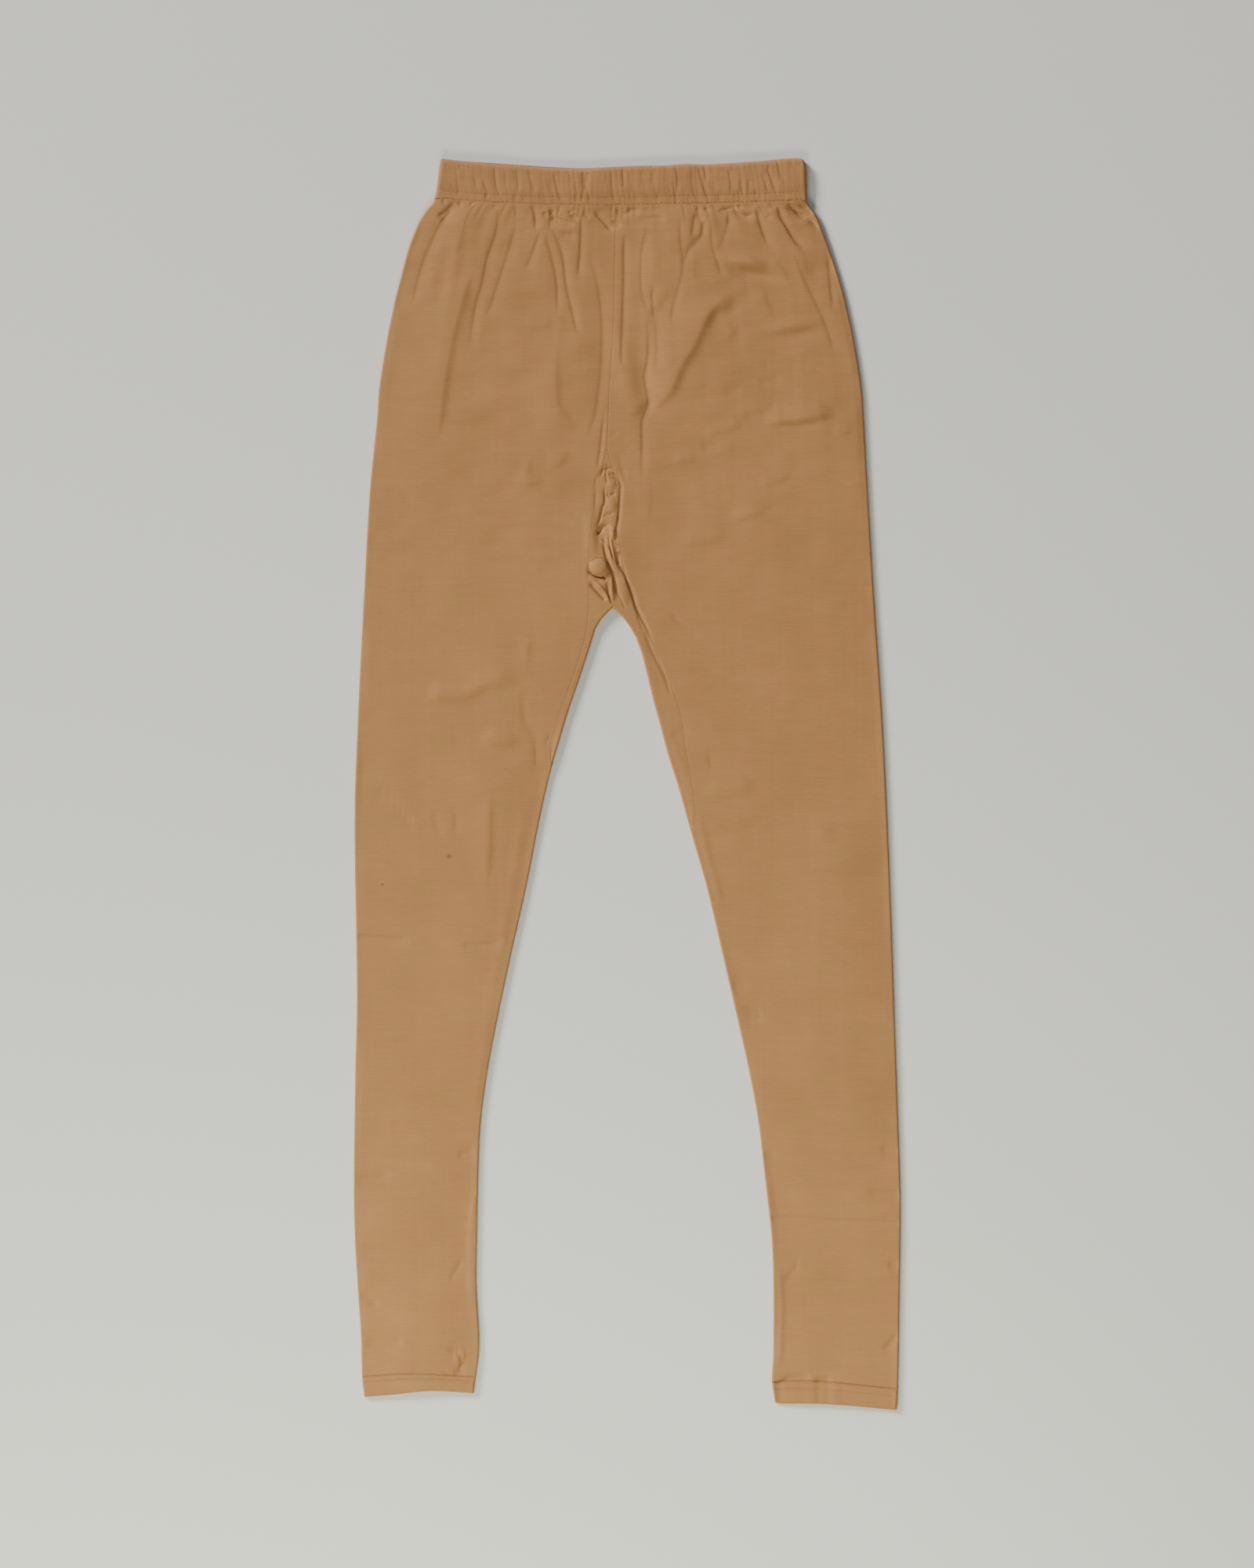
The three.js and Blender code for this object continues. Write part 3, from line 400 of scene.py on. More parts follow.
# Creases of the waistband, which lean a little to the right on their way down
BAND_CREASES = [
    # line, groove's dip, section
    ([(-137.5, 3), (-136, 11)], 0.2, "nip"),
    ([(-139, 16), (-138, 25), (-139.5, 34)], 0.2, "tuck"),
    ([(-126, 15), (-123, 27)], 0.2, "tuck"),
    ([(-118, 19), (-113.2, 32)], 0.3, "nip"),
    ([(-115.5, 29.5), (-115.5, 34.5)], 0.5, "nip"),
    ([(-108.7, 8), (-107.5, 20), (-104.7, 33)], 0.35, "nip"),
    ([(-91.2, 9), (-89.5, 20), (-89.5, 29)], 0.3, "nip"),
    ([(-80.5, 10), (-78.5, 22), (-75.5, 29)], 0.25, "tuck"),
    ([(-65.5, 18), (-62.5, 31)], 0.2, "tuck"),
    ([(-60.3, 12), (-58, 25), (-54, 37)], 0.35, "nip"),
    ([(-47, 10), (-46, 24)], 0.15, "tuck"),
    ([(-37.2, 10), (-37, 25)], 0.3, "nip"),
    ([(-35.6, 11), (-36, 31)], 0.35, "nip"),
    ([(-33.8, 12), (-34.4, 29)], 0.3, "nip"),
    ([(-32.2, 11), (-32.6, 21)], 0.3, "nip"),
    ([(-36, 27), (-38, 38.5)], 0.25, "nip"),
    ([(-32.5, 27), (-30.8, 39)], 0.25, "nip"),
    ([(-43, 30), (-42.5, 39)], 0.2, "nip"),
    ([(-13.5, 12), (-12, 26), (-11, 36)], 0.25, "tuck"),
    ([(-4.2, 7), (-3, 26)], 0.35, "nip"),
    ([(2, 12), (4, 30)], 0.15, "tuck"),
    ([(11, 10), (12, 31)], 0.15, "tuck"),
    ([(19.3, 5), (20, 10)], 0.4, "nip"),
    ([(20.5, 10), (18.5, 25)], 0.15, "tuck"),
    ([(24, 28), (25.2, 36)], 0.2, "nip"),
    ([(38, 7), (40.2, 14), (40.4, 30)], 0.35, "nip"),
    ([(36.8, 19), (39, 33), (40, 39)], 0.3, "nip"),
    ([(53, 8), (53, 26), (58, 37)], 0.2, "tuck"),
    ([(56.6, 6), (60, 18), (63, 28), (65.3, 35)], 0.4, "nip"),
    ([(62, 6), (64.8, 21)], 0.3, "nip"),
    ([(67, 18), (69.5, 32)], 0.15, "tuck"),
    ([(74, 27), (75, 38)], 0.2, "nip"),
    ([(81.8, 9), (83.8, 20), (84, 30)], 0.3, "nip"),
    ([(91.5, 18), (93, 30)], 0.2, "nip"),
    ([(90, 26), (91.8, 39)], 0.2, "nip"),
    ([(98, 18), (99.3, 28)], 0.2, "nip"),
    ([(104.8, 25), (104, 33)], 0.25, "nip"),
    ([(106, 27), (110, 36)], 0.2, "nip"),
    ([(108.6, 13), (112, 22), (116.5, 32)], 0.3, "nip"),
    ([(112.6, 8), (117, 18), (120.3, 30)], 0.4, "nip"),
    ([(120.8, 1), (126, 21)], 0.3, "nip"),
    ([(131.8, 3), (138.5, 14)], 0.2, "nip"),
    ([(119, 28), (133, 31)], 0.15, "nip"),
    ([(-112, 30), (-110.5, 37)], 0.15, "nip"),
    ([(-92, 30), (-92, 38)], 0.2, "nip"),
    ([(-85, 31), (-84.5, 38)], 0.2, "nip"),
    ([(104.5, 35), (105.2, 40)], 0.35, "nip"),
    ([(132, 33), (138, 37)], 0.3, "nip"),
]

# Seams that lie under the cloth's surface, as low ridges along lines of (x, down) points
SEAM_RIDGES = [
    # line, dip, width
    ([(-124, 844), (-127, 870), (-128, 900), (-127, 948)], -0.5, 2.6),
    ([(124, 902), (126, 940), (124, 990)], -0.5, 2.6),
    ([(-80, 520), (-88, 560), (-96, 605), (-106, 660), (-120, 740)], -0.35, 5),
    ([(58, 535), (66, 570), (78, 612)], -0.4, 3),
]

# Two small stains on the right leg
SPOTS = [
    # x, down, radius
    (-145, 570, 2.4),
    (-199.5, 593, 1.7),
]


def to_linear(code):
    """An sRGB hex value as a linear colour."""
    parts = [int(code[i:i + 2], 16) / 255 for i in (1, 3, 5)]
    return tuple(c / 12.92 if c <= 0.04045 else ((c + 0.055) / 1.055) ** 2.4 for c in parts)


class LeggingsSizes(bpy.types.PropertyGroup):
    flat_height: bpy.props.FloatProperty(
        name="Flat height", description="Front and back layer where the cloth lies smooth",
        default=2.8 * MM, min=0, unit="LENGTH")
    waist_puff: bpy.props.FloatProperty(
        name="Waist puff", description="Extra height of the gathered cloth at the waist seam",
        default=2.6 * MM, min=0, unit="LENGTH")
    band_height: bpy.props.FloatProperty(
        name="Band height", description="Thickness of the waistband, front and back together",
        default=6.0 * MM, min=0, unit="LENGTH")
    gather_depth: bpy.props.FloatProperty(
        name="Gather depth", description="Depth of the waistband's gathers",
        default=0.45 * MM, min=0, unit="LENGTH")
    crease_strength: bpy.props.FloatProperty(
        name="Crease strength", description="Share of each crease's own depth that is used",
        default=1.0, min=0, max=2, subtype="FACTOR")
    stitch_length: bpy.props.FloatProperty(
        name="Stitch length", description="Length of one stitch on the surface",
        default=2.8 * MM, min=0.001, unit="LENGTH")
    thread_width: bpy.props.FloatProperty(
        name="Thread width", description="Thickness of the sewing thread",
        default=0.42 * MM, min=0.0001, unit="LENGTH")


class LeggingsColours(bpy.types.PropertyGroup):
    jersey: bpy.props.FloatVectorProperty(
        name="Jersey", description="Camel cotton jersey of the legs", subtype="COLOR",
        default=to_linear("#B28051"), min=0, max=1)
    # Painted shade: the waistband is the same jersey as the legs, coloured a little darker to stand in for
    # the shade at the gathered waist.
    band: bpy.props.FloatVectorProperty(
        name="Waistband", description="The same jersey, a little darker in its gathers", subtype="COLOR",
        default=to_linear("#AF7D50"), min=0, max=1)
    thread: bpy.props.FloatVectorProperty(
        name="Thread", description="Sewing thread of the hems and the waistband", subtype="COLOR",
        default=to_linear("#A87444"), min=0, max=1)
    floor: bpy.props.FloatVectorProperty(
        name="Floor", description="Pale surface that the leggings lie on", subtype="COLOR",
        default=to_linear("#F0EEEA"), min=0, max=1)


def sizes():
    return bpy.context.scene.leggings_sizes


def colours():
    return bpy.context.scene.leggings_colours


def ease(t):
    t = np.clip(t, 0, 1)
    return t * t * (3 - 2 * t)


def smooth_curve(keys, values):
    """A smooth curve of values against keys."""
    last = len(keys) - 1
    after = np.minimum(np.arange(last + 1) + 1, last)
    before = np.maximum(np.arange(last + 1) - 1, 0)
    slopes = (values[after] - values[before]) / (keys[after] - keys[before])

    def read(at):
        i = np.clip(np.searchsorted(keys, at, side="right") - 1, 0, last - 1)
        span = keys[i + 1] - keys[i]
        t = np.clip((at - keys[i]) / span, 0, 1)
        blend = ease(t)
        steady = values[i] * (1 - blend) + values[i + 1] * blend
        return steady + slopes[i] * span * t * (1 - t) ** 2 - slopes[i + 1] * span * t * t * (1 - t)

    return read


def smooth_line(points, count):
    """Points along a smooth line through the given ones, evenly spread between each two."""
    points = np.asarray(points, float)
    knots = np.arange(len(points), dtype=float)
    at = np.linspace(0, len(points) - 1, count)
    return np.stack([smooth_curve(knots, points[:, k])(at) for k in range(points.shape[1])], axis=1)


def table_curve(table, column=1):
    """One of a table's columns as a smooth curve against its first."""
    return smooth_curve(table[:, 0], table[:, column])


outer_fold = {-1: table_curve(OUTER_FOLDS), 1: table_curve(OUTER_FOLDS, 2)}
inner_fold = {-1: table_curve(INNER_FOLDS), 1: table_curve(INNER_FOLDS, 2)}
waist_line = table_curve(WAIST_SEAM)
band_top = table_curve(BAND_TOP)
band_left = table_curve(BAND_ENDS)
band_right = table_curve(BAND_ENDS, 2)
hem_seam = {side: table_curve(table) for side, table in HEM_SEAMS.items()}
hem_edge = {side: table_curve(table) for side, table in HEM_EDGES.items()}
gusset_end = {-1: GUSSET_SECTIONS[0, 1], 1: GUSSET_SECTIONS[-1, 1]}


def waist_seam(x):
    """Distance down to the waist seam, which wavers where the elastic pulls the cloth together."""
    return waist_line(x) + 0.4 * SEAM_WAVER(x, 0 * x)


def band_down(x, share):
    """Distance down to a share of the casing's depth."""
    return band_top(x) + (waist_seam(x) - band_top(x)) * share


def leg_seam(side):
    """X of a leg's front edge against the distance down, along the centre seam and the gusset."""
    tip = GUSSET_TIP_ROW
    rows = GUSSET_SECTIONS[tip::-1] if side < 0 else GUSSET_SECTIONS[tip:]
    down = np.concatenate([CENTRE_SEAM[:, 0], rows[:, 1]])
    x = np.concatenate([CENTRE_SEAM[:, 1], rows[:, 0]])
    return lambda at: np.interp(at, down, x)


SEAM_X = {-1: leg_seam(-1), 1: leg_seam(1)}


def gather_places():
    """X and depth of each crease of the waistband's gathers."""
    places = []
    for first, last, count, depth in GATHER_GROUPS:
        places += [(first + (last - first) * i / count, depth) for i in range(count)]
    return np.array(places + [(GATHER_GROUPS[-1][1], GATHER_GROUPS[-1][3])])


GATHERS = gather_places()
DICE = np.random.default_rng(11)
GATHERS[1:-1, 0] += DICE.uniform(-0.9, 0.9, len(GATHERS) - 2)
GATHERS[1:-1, 1] *= DICE.uniform(0.65, 1.3, len(GATHERS) - 2)
PUCKER_LENGTHS = DICE.uniform(8, 26, len(GATHERS))
PUCKER_DEPTHS = DICE.uniform(0.1, 1.0, len(GATHERS))


class Ripples:
    """Smooth seeded unevenness, from -1 to 1, over cells of a given size in millimetres."""

    def __init__(self, seed, wide, tall):
        self.grid = np.random.default_rng(seed).uniform(-1, 1, (256, 256))
        self.cell = np.array([wide, tall])

    def __call__(self, x, down):
        u = np.asarray(x) / self.cell[0] + 120
        v = np.asarray(down) / self.cell[1] + 7
        i = np.floor(u).astype(int)
        j = np.floor(v).astype(int)
        s = ease(u - i)
        t = ease(v - j)
        near = self.grid[i % 256, j % 256] * (1 - s) + self.grid[(i + 1) % 256, j % 256] * s
        far = self.grid[i % 256, (j + 1) % 256] * (1 - s) + self.grid[(i + 1) % 256, (j + 1) % 256] * s
        return near * (1 - t) + far * t


BROAD_WAVES = Ripples(3, 58, 84)
SOFT_CRUMPLE = Ripples(5, 21, 13)
FINE_CRUMPLE = Ripples(9, 13, 4.2)
LONG_WRINKLES = Ripples(14, 6.5, 46)
LONG_FOLDS = Ripples(21, 15, 90)
SEAM_WAVER = Ripples(33, 3.6, 50)


def line_distance(line, x, down):
    """Signed distance of places from a line, and how far along it they lie from 0 to 1. The right
    of a line that runs down is positive."""
    best = np.full(x.shape, 1e9)
    signed = np.zeros(x.shape)
    along = np.zeros(x.shape)
    count = len(line) - 1
    for i in range(count):
        start, step = line[i], line[i + 1] - line[i]
        length = math.hypot(*step)
        px, pd = x - start[0], down - start[1]
        t = np.clip((px * step[0] + pd * step[1]) / length ** 2, 0, 1)
        away = np.hypot(px - t * step[0], pd - t * step[1])
        nearer = away < best
        cross = (px * step[1] - pd * step[0]) / length
        best = np.where(nearer, away, best)
        signed = np.where(nearer, np.where(cross < 0, -away, away), signed)
        along = np.where(nearer, (i + t) / count, along)
    return signed, along


def near_line(points, margin, x, down, run_in=0):
    """The places near a line, their distance to it and to its upper left side, and its fading at
    its ends, over at least a fifth of its length or the given run-in."""
    line = smooth_line(points, 8 * len(points))
    low, high = line.min(axis=0) - margin, line.max(axis=0) + margin
    near = np.flatnonzero((x > low[0]) & (x < high[0]) & (down > low[1]) & (down < high[1]))
    away, along = line_distance(line, x[near], down[near])
    run, fall = line[-1] - line[0]
    ramp = np.clip(run_in / math.hypot(run, fall), 0.2, 0.5)
    fade = ease(along / ramp) * ease((1 - along) / ramp)
    return near, away, (away if run > fall else -away), fade


def crease_heights(x, down, table):
    """Summed height of thin creases at flat arrays of places. Each groove is steeper on its upper
    left, where the cloth was smoothed over it."""
    total = np.zeros(x.shape)
    for points, dip, kind in table:
        width, valley, reach = CREASE_SECTIONS[kind]
        reach = min(reach, 0.2 * math.dist(points[0], points[-1]))
        near, _, up_left, fade = near_line(points, 8 * reach + 3, x, down, 2 * reach)
        from_foot = up_left + 0.6 * width
        side = np.where(from_foot > 0, width, 3.0 * width)
        groove = dip * np.exp(-(from_foot / side) ** 2) * fade ** 0.6
        slope = np.where(from_foot > 0, reach, 2.6 * reach) * (0.3 + 0.7 * fade)
        total[near] -= groove + valley * np.exp(-np.abs(from_foot) / slope) * fade
    return total * sizes().crease_strength


def fold_heights(x, down, table):
    """Summed height of soft folds at flat arrays of places."""
    total = np.zeros(x.shape)
    for points, height, kind in table:
        width, reach = FOLD_SECTIONS[kind]
        near, _, up_left, fade = near_line(points, 2.5 * reach + 3, x, down, 1.6 * reach)
        from_crest = up_left - 0.7 * width
        side = np.where(from_crest > 0, reach, width) * (0.3 + 0.7 * fade)
        total[near] += height * np.exp(-(from_crest / side) ** 2) * fade
    return total * sizes().crease_strength


def groove_heights(x, down, table):
    """Summed height of plain grooves and ridges at flat arrays of places."""
    total = np.zeros(x.shape)
    for points, dip, width in table:
        near, away, _, fade = near_line(points, 2.5 * width + 2, x, down)
        total[near] -= dip * np.exp(-(away / width) ** 2) * fade ** 0.7
    return total * sizes().crease_strength


def mound_heights(x, down):
    """Summed height of mounds, each with a rim, at flat arrays of places."""
    total = np.zeros(x.shape)
    for centre_x, centre_down, wide, long, height, fullness in MOUNDS:
        off = ((x - centre_x) / wide) ** 2 + ((down - centre_down) / long) ** 2
        total += height * np.clip(1 - off, 0, 1) ** fullness
    return total


def slope_heights(x, down):
    """Summed height of patches that tip down one way and ease back around."""
    total = np.zeros(x.shape)
    for centre_x, centre_down, long, wide, runs, faces, height in SLOPES:
        run, fall = math.cos(math.radians(runs)), math.sin(math.radians(runs))
        u = ((x - centre_x) * run + (down - centre_down) * fall) / long
        v = ((down - centre_down) * run - (x - centre_x) * fall) / wide
        out_x, out_down = math.cos(math.radians(faces)), math.sin(math.radians(faces))
        out = ((x - centre_x) * out_x + (down - centre_down) * out_down) / wide
        total -= height * out * np.exp(-u * u - v * v)
    return total * sizes().crease_strength


def gather_before(x):
    """Number of the last gather to the left of each place."""
    return np.clip(np.searchsorted(GATHERS[:, 0], x) - 1, 0, len(GATHERS) - 2)


def gather_swell(x, sharp):
    """Swell between two neighbouring gathers: 0 in the middle, and down to its depth at each."""
    i = gather_before(x)
    t = np.clip((x - GATHERS[i, 0]) / (GATHERS[i + 1, 0] - GATHERS[i, 0]), 0, 1)
    depth = GATHERS[i, 1] * (1 - t) + GATHERS[i + 1, 1] * t
    return depth * (np.abs(np.sin(math.pi * t)) ** sharp - 1)


def fold_distance(side, x, down):
    """Distance of a place from the nearest fold of its leg."""
    outer = np.abs(outer_fold[side](down) - x)
    inner = np.abs(x - inner_fold[side](down))
    return np.where(down > gusset_end[side], np.minimum(outer, inner), outer)


def plain_height(side, x, down):
    """Height of the front layer without creases, in millimetres."""
    away = fold_distance(side, x, down)
    crown = ease(away / CROWN_REACH)
    puff = sizes().waist_puff / MM * np.exp(-(down - WAIST_SEAM_MIDDLE) / PUFF_REACH)
    bulk_x, bulk_down, wide, long, height = CROTCH_BULK
    bulk = height * np.exp(-((x - bulk_x) / wide) ** 2 - ((down - bulk_down) / long) ** 2)
    return sizes().flat_height / MM + puff * (0.6 + 0.4 * crown) + CROWN_HEIGHT * crown + bulk


def front_height(side, x, down):
    """Height of the front layer with its puckers, creases and unevenness, in millimetres."""
    away = fold_distance(side, x, down)
    spread = outer_fold[side](WAIST_SEAM_MIDDLE) / outer_fold[side](down)
    below = down - waist_seam(x)
    gathered_x = x * spread
    puckers = LEG_SWELL * gather_swell(gathered_x, 0.8) * np.exp(-np.maximum(below, 0) / PUCKER_REACH)
    before = gather_before(gathered_x)
    for k in (before, before + 1):
        off = (gathered_x - GATHERS[k, 0]) / PUCKER_WIDTH
        fade = ease(1 - below / PUCKER_LENGTHS[k])
        puckers -= 0.5 * PUCKER_DEPTHS[k] ** 2 * np.exp(-off * off) * fade
    # The unevenness is strongest near the waist, and its finer kinds fade down the legs
    rise = ease((540 - down) / 330)
    uneven = (0.7 * BROAD_WAVES(x, down) + (0.16 + 0.16 * rise) * SOFT_CRUMPLE(x, down)
              + (0.06 + 0.04 * rise) * FINE_CRUMPLE(x, down)
              + 0.6 * ease((260 - down) / 200) * LONG_FOLDS(gathered_x, down)
              + 0.22 * ease((230 - down) / 150) * LONG_WRINKLES(gathered_x, down))
    placed = (crease_heights(x, down, CREASES) + fold_heights(x, down, FOLDS)
              + groove_heights(x, down, CRUMPLES + SEAM_RIDGES) + mound_heights(x, down)
              + slope_heights(x, down))
    # At the waist seam the leg comes up, or down, to the casing's own height
    step = sizes().band_height / MM * BAND_SEAM_SHARE - plain_height(side, x, waist_seam(x))
    held = 0.3 + 0.7 * ease(below / 5)
    relief = (puckers + uneven) * held + (step + 0.1) * np.exp(-np.maximum(below, 0) / 9)
    placed = placed * (0.5 + 0.5 * held) * ease(away / 3.5)
    return np.maximum(plain_height(side, x, down) + relief * ease(away / 7) + placed, 0.9)


def mesh_from(name, grids):
    """One mesh object from grids of (x, down, z) points, each rows x columns x 3, wound so that
    the faces of a grid look up where its rows run down and its columns run to the right."""
    vertices, faces, start = [], [], 0
    for grid in grids:
        rows, columns = grid.shape[:2]
        index = np.arange(rows * columns).reshape(rows, columns) + start
        quads = np.stack([index[:-1, :-1], index[1:, :-1], index[1:, 1:], index[:-1, 1:]], axis=-1)
        vertices.append(grid.reshape(-1, 3))
        faces.append(quads.reshape(-1, 4))
        start += rows * columns
    points = np.concatenate(vertices)
    points[:, 1] = HALF_LENGTH - points[:, 1]
    mesh = bpy.data.meshes.new(name)
    mesh.from_pydata((points * MM).tolist(), [], np.concatenate(faces).tolist())
    mesh.validate()
    for polygon in mesh.polygons:
        polygon.use_smooth = True
    thing = bpy.data.objects.new(name, mesh)
    bpy.context.scene.collection.objects.link(thing)
    return thing


def dress(thing, material, nodes=()):
    """Gives a piece its material and says what it rides on and replaces."""
    thing.data.materials.append(material)
    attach(thing, BODY)
    if nodes:
        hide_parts(*nodes)
    return thing


def stations(parts):
    """Evenly stepped readings through parts given as (end, step), from the first start."""
    found = [parts[0][0]]
    for (start, _), (end, step) in zip(parts, parts[1:]):
        count = max(int(round((end - start) / step)), 1)
        found += list(start + (end - start) * np.arange(1, count + 1) / count)
    return np.array(found)


def leg_rows(side):
    """Distances down of a leg's rows, which lie closest where the creases are finest."""
    near_top = WAIST_SEAM_MIDDLE + np.array([0.012, 0.3, 0.7, 1.2, 1.9, 2.9])
    open_end = gusset_end[side] - 0.06
    bottom = HEM_MIDDLES[side] - HEM_GAP
    low = stations([(gusset_end[side], 1), (632, 5.0), (644, 1.5), (796, 4.5), (856, 2.4),
                    (874, 0.9), (bottom - 2.2, 2.6)])
    near_bottom = bottom - np.array([1.3, 0.8, 0.4, 0.0])
    high = stations([(near_top[-1], 1), (66, 0.85), (330, 2.0), (open_end, 3.6)])
    return np.concatenate([near_top, high[1:], low, near_bottom])


def back_layer(x, down):
    """Points of the back layer, which rests on the surface with slight waves of its own."""
    waves = 0.22 * (1 + SOFT_CRUMPLE(x + 400, down)) + 0.12 * (1 + FINE_CRUMPLE(x + 300, down))
    return np.stack([x, down, BACK_LIFT + waves], axis=-1)


def beside_seam(distance):
    """Share of a seam's groove at a distance from the seam."""
    return np.exp(-(distance / DIP_WIDTH) ** 2)


def gusset_dip(down):
    """Depth of the groove along the centre seam and the gusset, which fades down the legs."""
    return EDGE_DIP * (1 - 0.8 * ease((down - 420) / 50))


def turned_in(grid, shares=(0.75, 0.4)):
    """Rows that turn a ring's last row in towards the middle of its height, as a seam does."""
    row = grid[-1]
    middle = row[:, 2].max() / 2
    rows = []
    for share in shares:
        turned = row.copy()
        turned[:, 2] = middle + (row[:, 2] - middle) * share
        rows.append(turned)
    return np.stack(rows)


def leg_shell(side):
    """One leg panel: front edge, front, outer fold, back and back edge, row by row."""
    rows = leg_rows(side)
    hem_line = hem_seam[side]
    near_waist = 1 - ease((rows - WAIST_SEAM_MIDDLE) / 80)
    near_hem = ease((rows - HEM_MIDDLES[side]) / 90 + 1)

    def row_down(x):
        wave = (waist_seam(x) - WAIST_SEAM_MIDDLE) * near_waist[:, None]
        return rows[:, None] + wave + (hem_line(x) - HEM_MIDDLES[side]) * near_hem[:, None]

    fold_x = outer_fold[side](row_down(outer_fold[side](rows)[:, None]))
    radius = plain_height(side, fold_x, row_down(fold_x)) / 2
    flat_end = fold_x - side * radius
    closed = (rows >= gusset_end[side]).astype(float)[:, None]
    inner_x = inner_fold[side](row_down(inner_fold[side](rows)[:, None]))
    inner_radius = plain_height(side, inner_x, row_down(inner_x)) / 2
    seam_x = SEAM_X[side](rows)[:, None] + side * SEAM_GAP
    edge_x = seam_x * (1 - closed) + (inner_x + side * inner_radius) * closed

    wide = np.abs(flat_end - edge_x)
    even = np.linspace(0, 1, FRONT_COLUMNS)[None, 1:]
    near = EDGE_STEPS[None, :] / wide
    t = np.concatenate([near, near[:, -1:] + (1 - near[:, -1:]) * even], axis=1)
    x = edge_x + (flat_end - edge_x) * t
    down = row_down(x)
    z = front_height(side, x.ravel(), down.ravel()).reshape(x.shape)
    z -= gusset_dip(down) * beside_seam(x - edge_x) * (1 - closed)
    z -= WAIST_DIP * beside_seam(down - down[:1])
    z -= EDGE_DIP * beside_seam(down - down[-1:])
    front = np.stack([x, down, z], axis=-1)

    def arc(centre_x, size, way, angles):
        ax = centre_x + way * size * np.sin(angles)[None, :]
        return np.stack([ax, row_down(ax), size + size * np.cos(angles)[None, :]], axis=-1)

    outer = arc(flat_end, radius, side, np.linspace(0, math.pi, ROUND_COLUMNS + 2)[1:-1])
    bx = flat_end + (edge_x - flat_end) * np.linspace(0, 1, BACK_COLUMNS)[None, :]
    back = back_layer(bx, row_down(bx))

    # Where the leg is closed its edges meet half way round the inner fold; above the gusset's
    # end they turn in as the seam allowance
    turn = np.linspace(math.pi / 2, 0, 5)[:-1]
    round_in = arc(edge_x, inner_radius, -side, turn)
    lip_x = np.repeat(edge_x, len(turn), axis=1)
    lip = np.stack([lip_x, row_down(lip_x), z[:, :1] - LIP_DEPTH * np.sin(turn)[None, :]], axis=-1)
    weight = closed[:, :, None]
    front_edge = lip * (1 - weight) + round_in * weight
    round_under = arc(edge_x, inner_radius, -side, math.pi - turn[::-1])
    under = back[:, -1:, 2] + np.sin(turn[::-1])[None, :]
    lip_under = np.stack([lip_x, row_down(lip_x), under], axis=-1)
    back_edge = lip_under * (1 - weight) + round_under * weight
    grid = np.concatenate([front_edge, front, outer, back, back_edge], axis=1)
    grid = np.concatenate([turned_in(grid[::-1])[::-1], grid, turned_in(grid)], axis=0)
    return grid if side > 0 else grid[:, ::-1]


def gusset_shell():
    """The crotch piece, in sections from the seam over the folded arch to the back seam."""
    rows = len(GUSSET_SECTIONS)
    at = np.linspace(0, rows - 1, GUSSET_ROWS)
    seam_x, seam_down, arch_x, arch_down = [
        np.interp(at, np.arange(rows), GUSSET_SECTIONS[:, k])[:, None] for k in range(4)]
    seam_x = seam_x - SEAM_GAP * np.sign(at[:, None] - GUSSET_TIP_ROW)
    seam_down = seam_down + SEAM_GAP * np.exp(-(at[:, None] - GUSSET_TIP_ROW) ** 2)
    length = np.hypot(arch_x - seam_x, arch_down - seam_down)
    way_x, way_down = (arch_x - seam_x) / length, (arch_down - seam_down) / length
    radius = np.minimum(plain_height(1, arch_x, arch_down) / 2, length * 0.97)

    flat = np.maximum(length - radius, 0.02)
    near = np.minimum(EDGE_STEPS[None, :], flat * np.linspace(0, 0.5, len(EDGE_STEPS))[None, :])
    even = np.linspace(0, 1, GUSSET_COLUMNS)[None, 1:]
    reach = np.concatenate([near, near[:, -1:] + (flat - near[:, -1:]) * even], axis=1)
    x, down = seam_x + way_x * reach, seam_down + way_down * reach
    flat_x, flat_down = x.ravel(), down.ravel()
    heights = [front_height(side, flat_x, flat_down) for side in (-1, 1)]
    z = np.where(flat_x < CENTRE_X, *heights).reshape(x.shape)
    z -= gusset_dip(down) * beside_seam(reach)
    # The front runs into the top of the folded arch
    join = ease(1 - (flat - reach) / np.minimum(7, 0.6 * flat + 0.1))
    z = z * (1 - join) + 2 * radius * join
    front = np.stack([x, down, z], axis=-1)
    angles = np.linspace(0, math.pi, ROUND_COLUMNS + 2)[1:-1][None, :]
    out = flat + radius * np.sin(angles)
    fold_z = radius + radius * np.cos(angles)
    fold = np.stack([seam_x + way_x * out, seam_down + way_down * out, fold_z], axis=-1)
    back_reach = flat * np.linspace(1, 0, 12)[None, :]
    back = back_layer(seam_x + way_x * back_reach, seam_down + way_down * back_reach)
    lip = np.repeat(front[:, :1], 2, axis=1)
    lip[..., 2] -= LIP_DEPTH * np.array([1, 0.5])[None, :]
    return np.concatenate([lip, front, fold, back], axis=1).transpose(1, 0, 2)


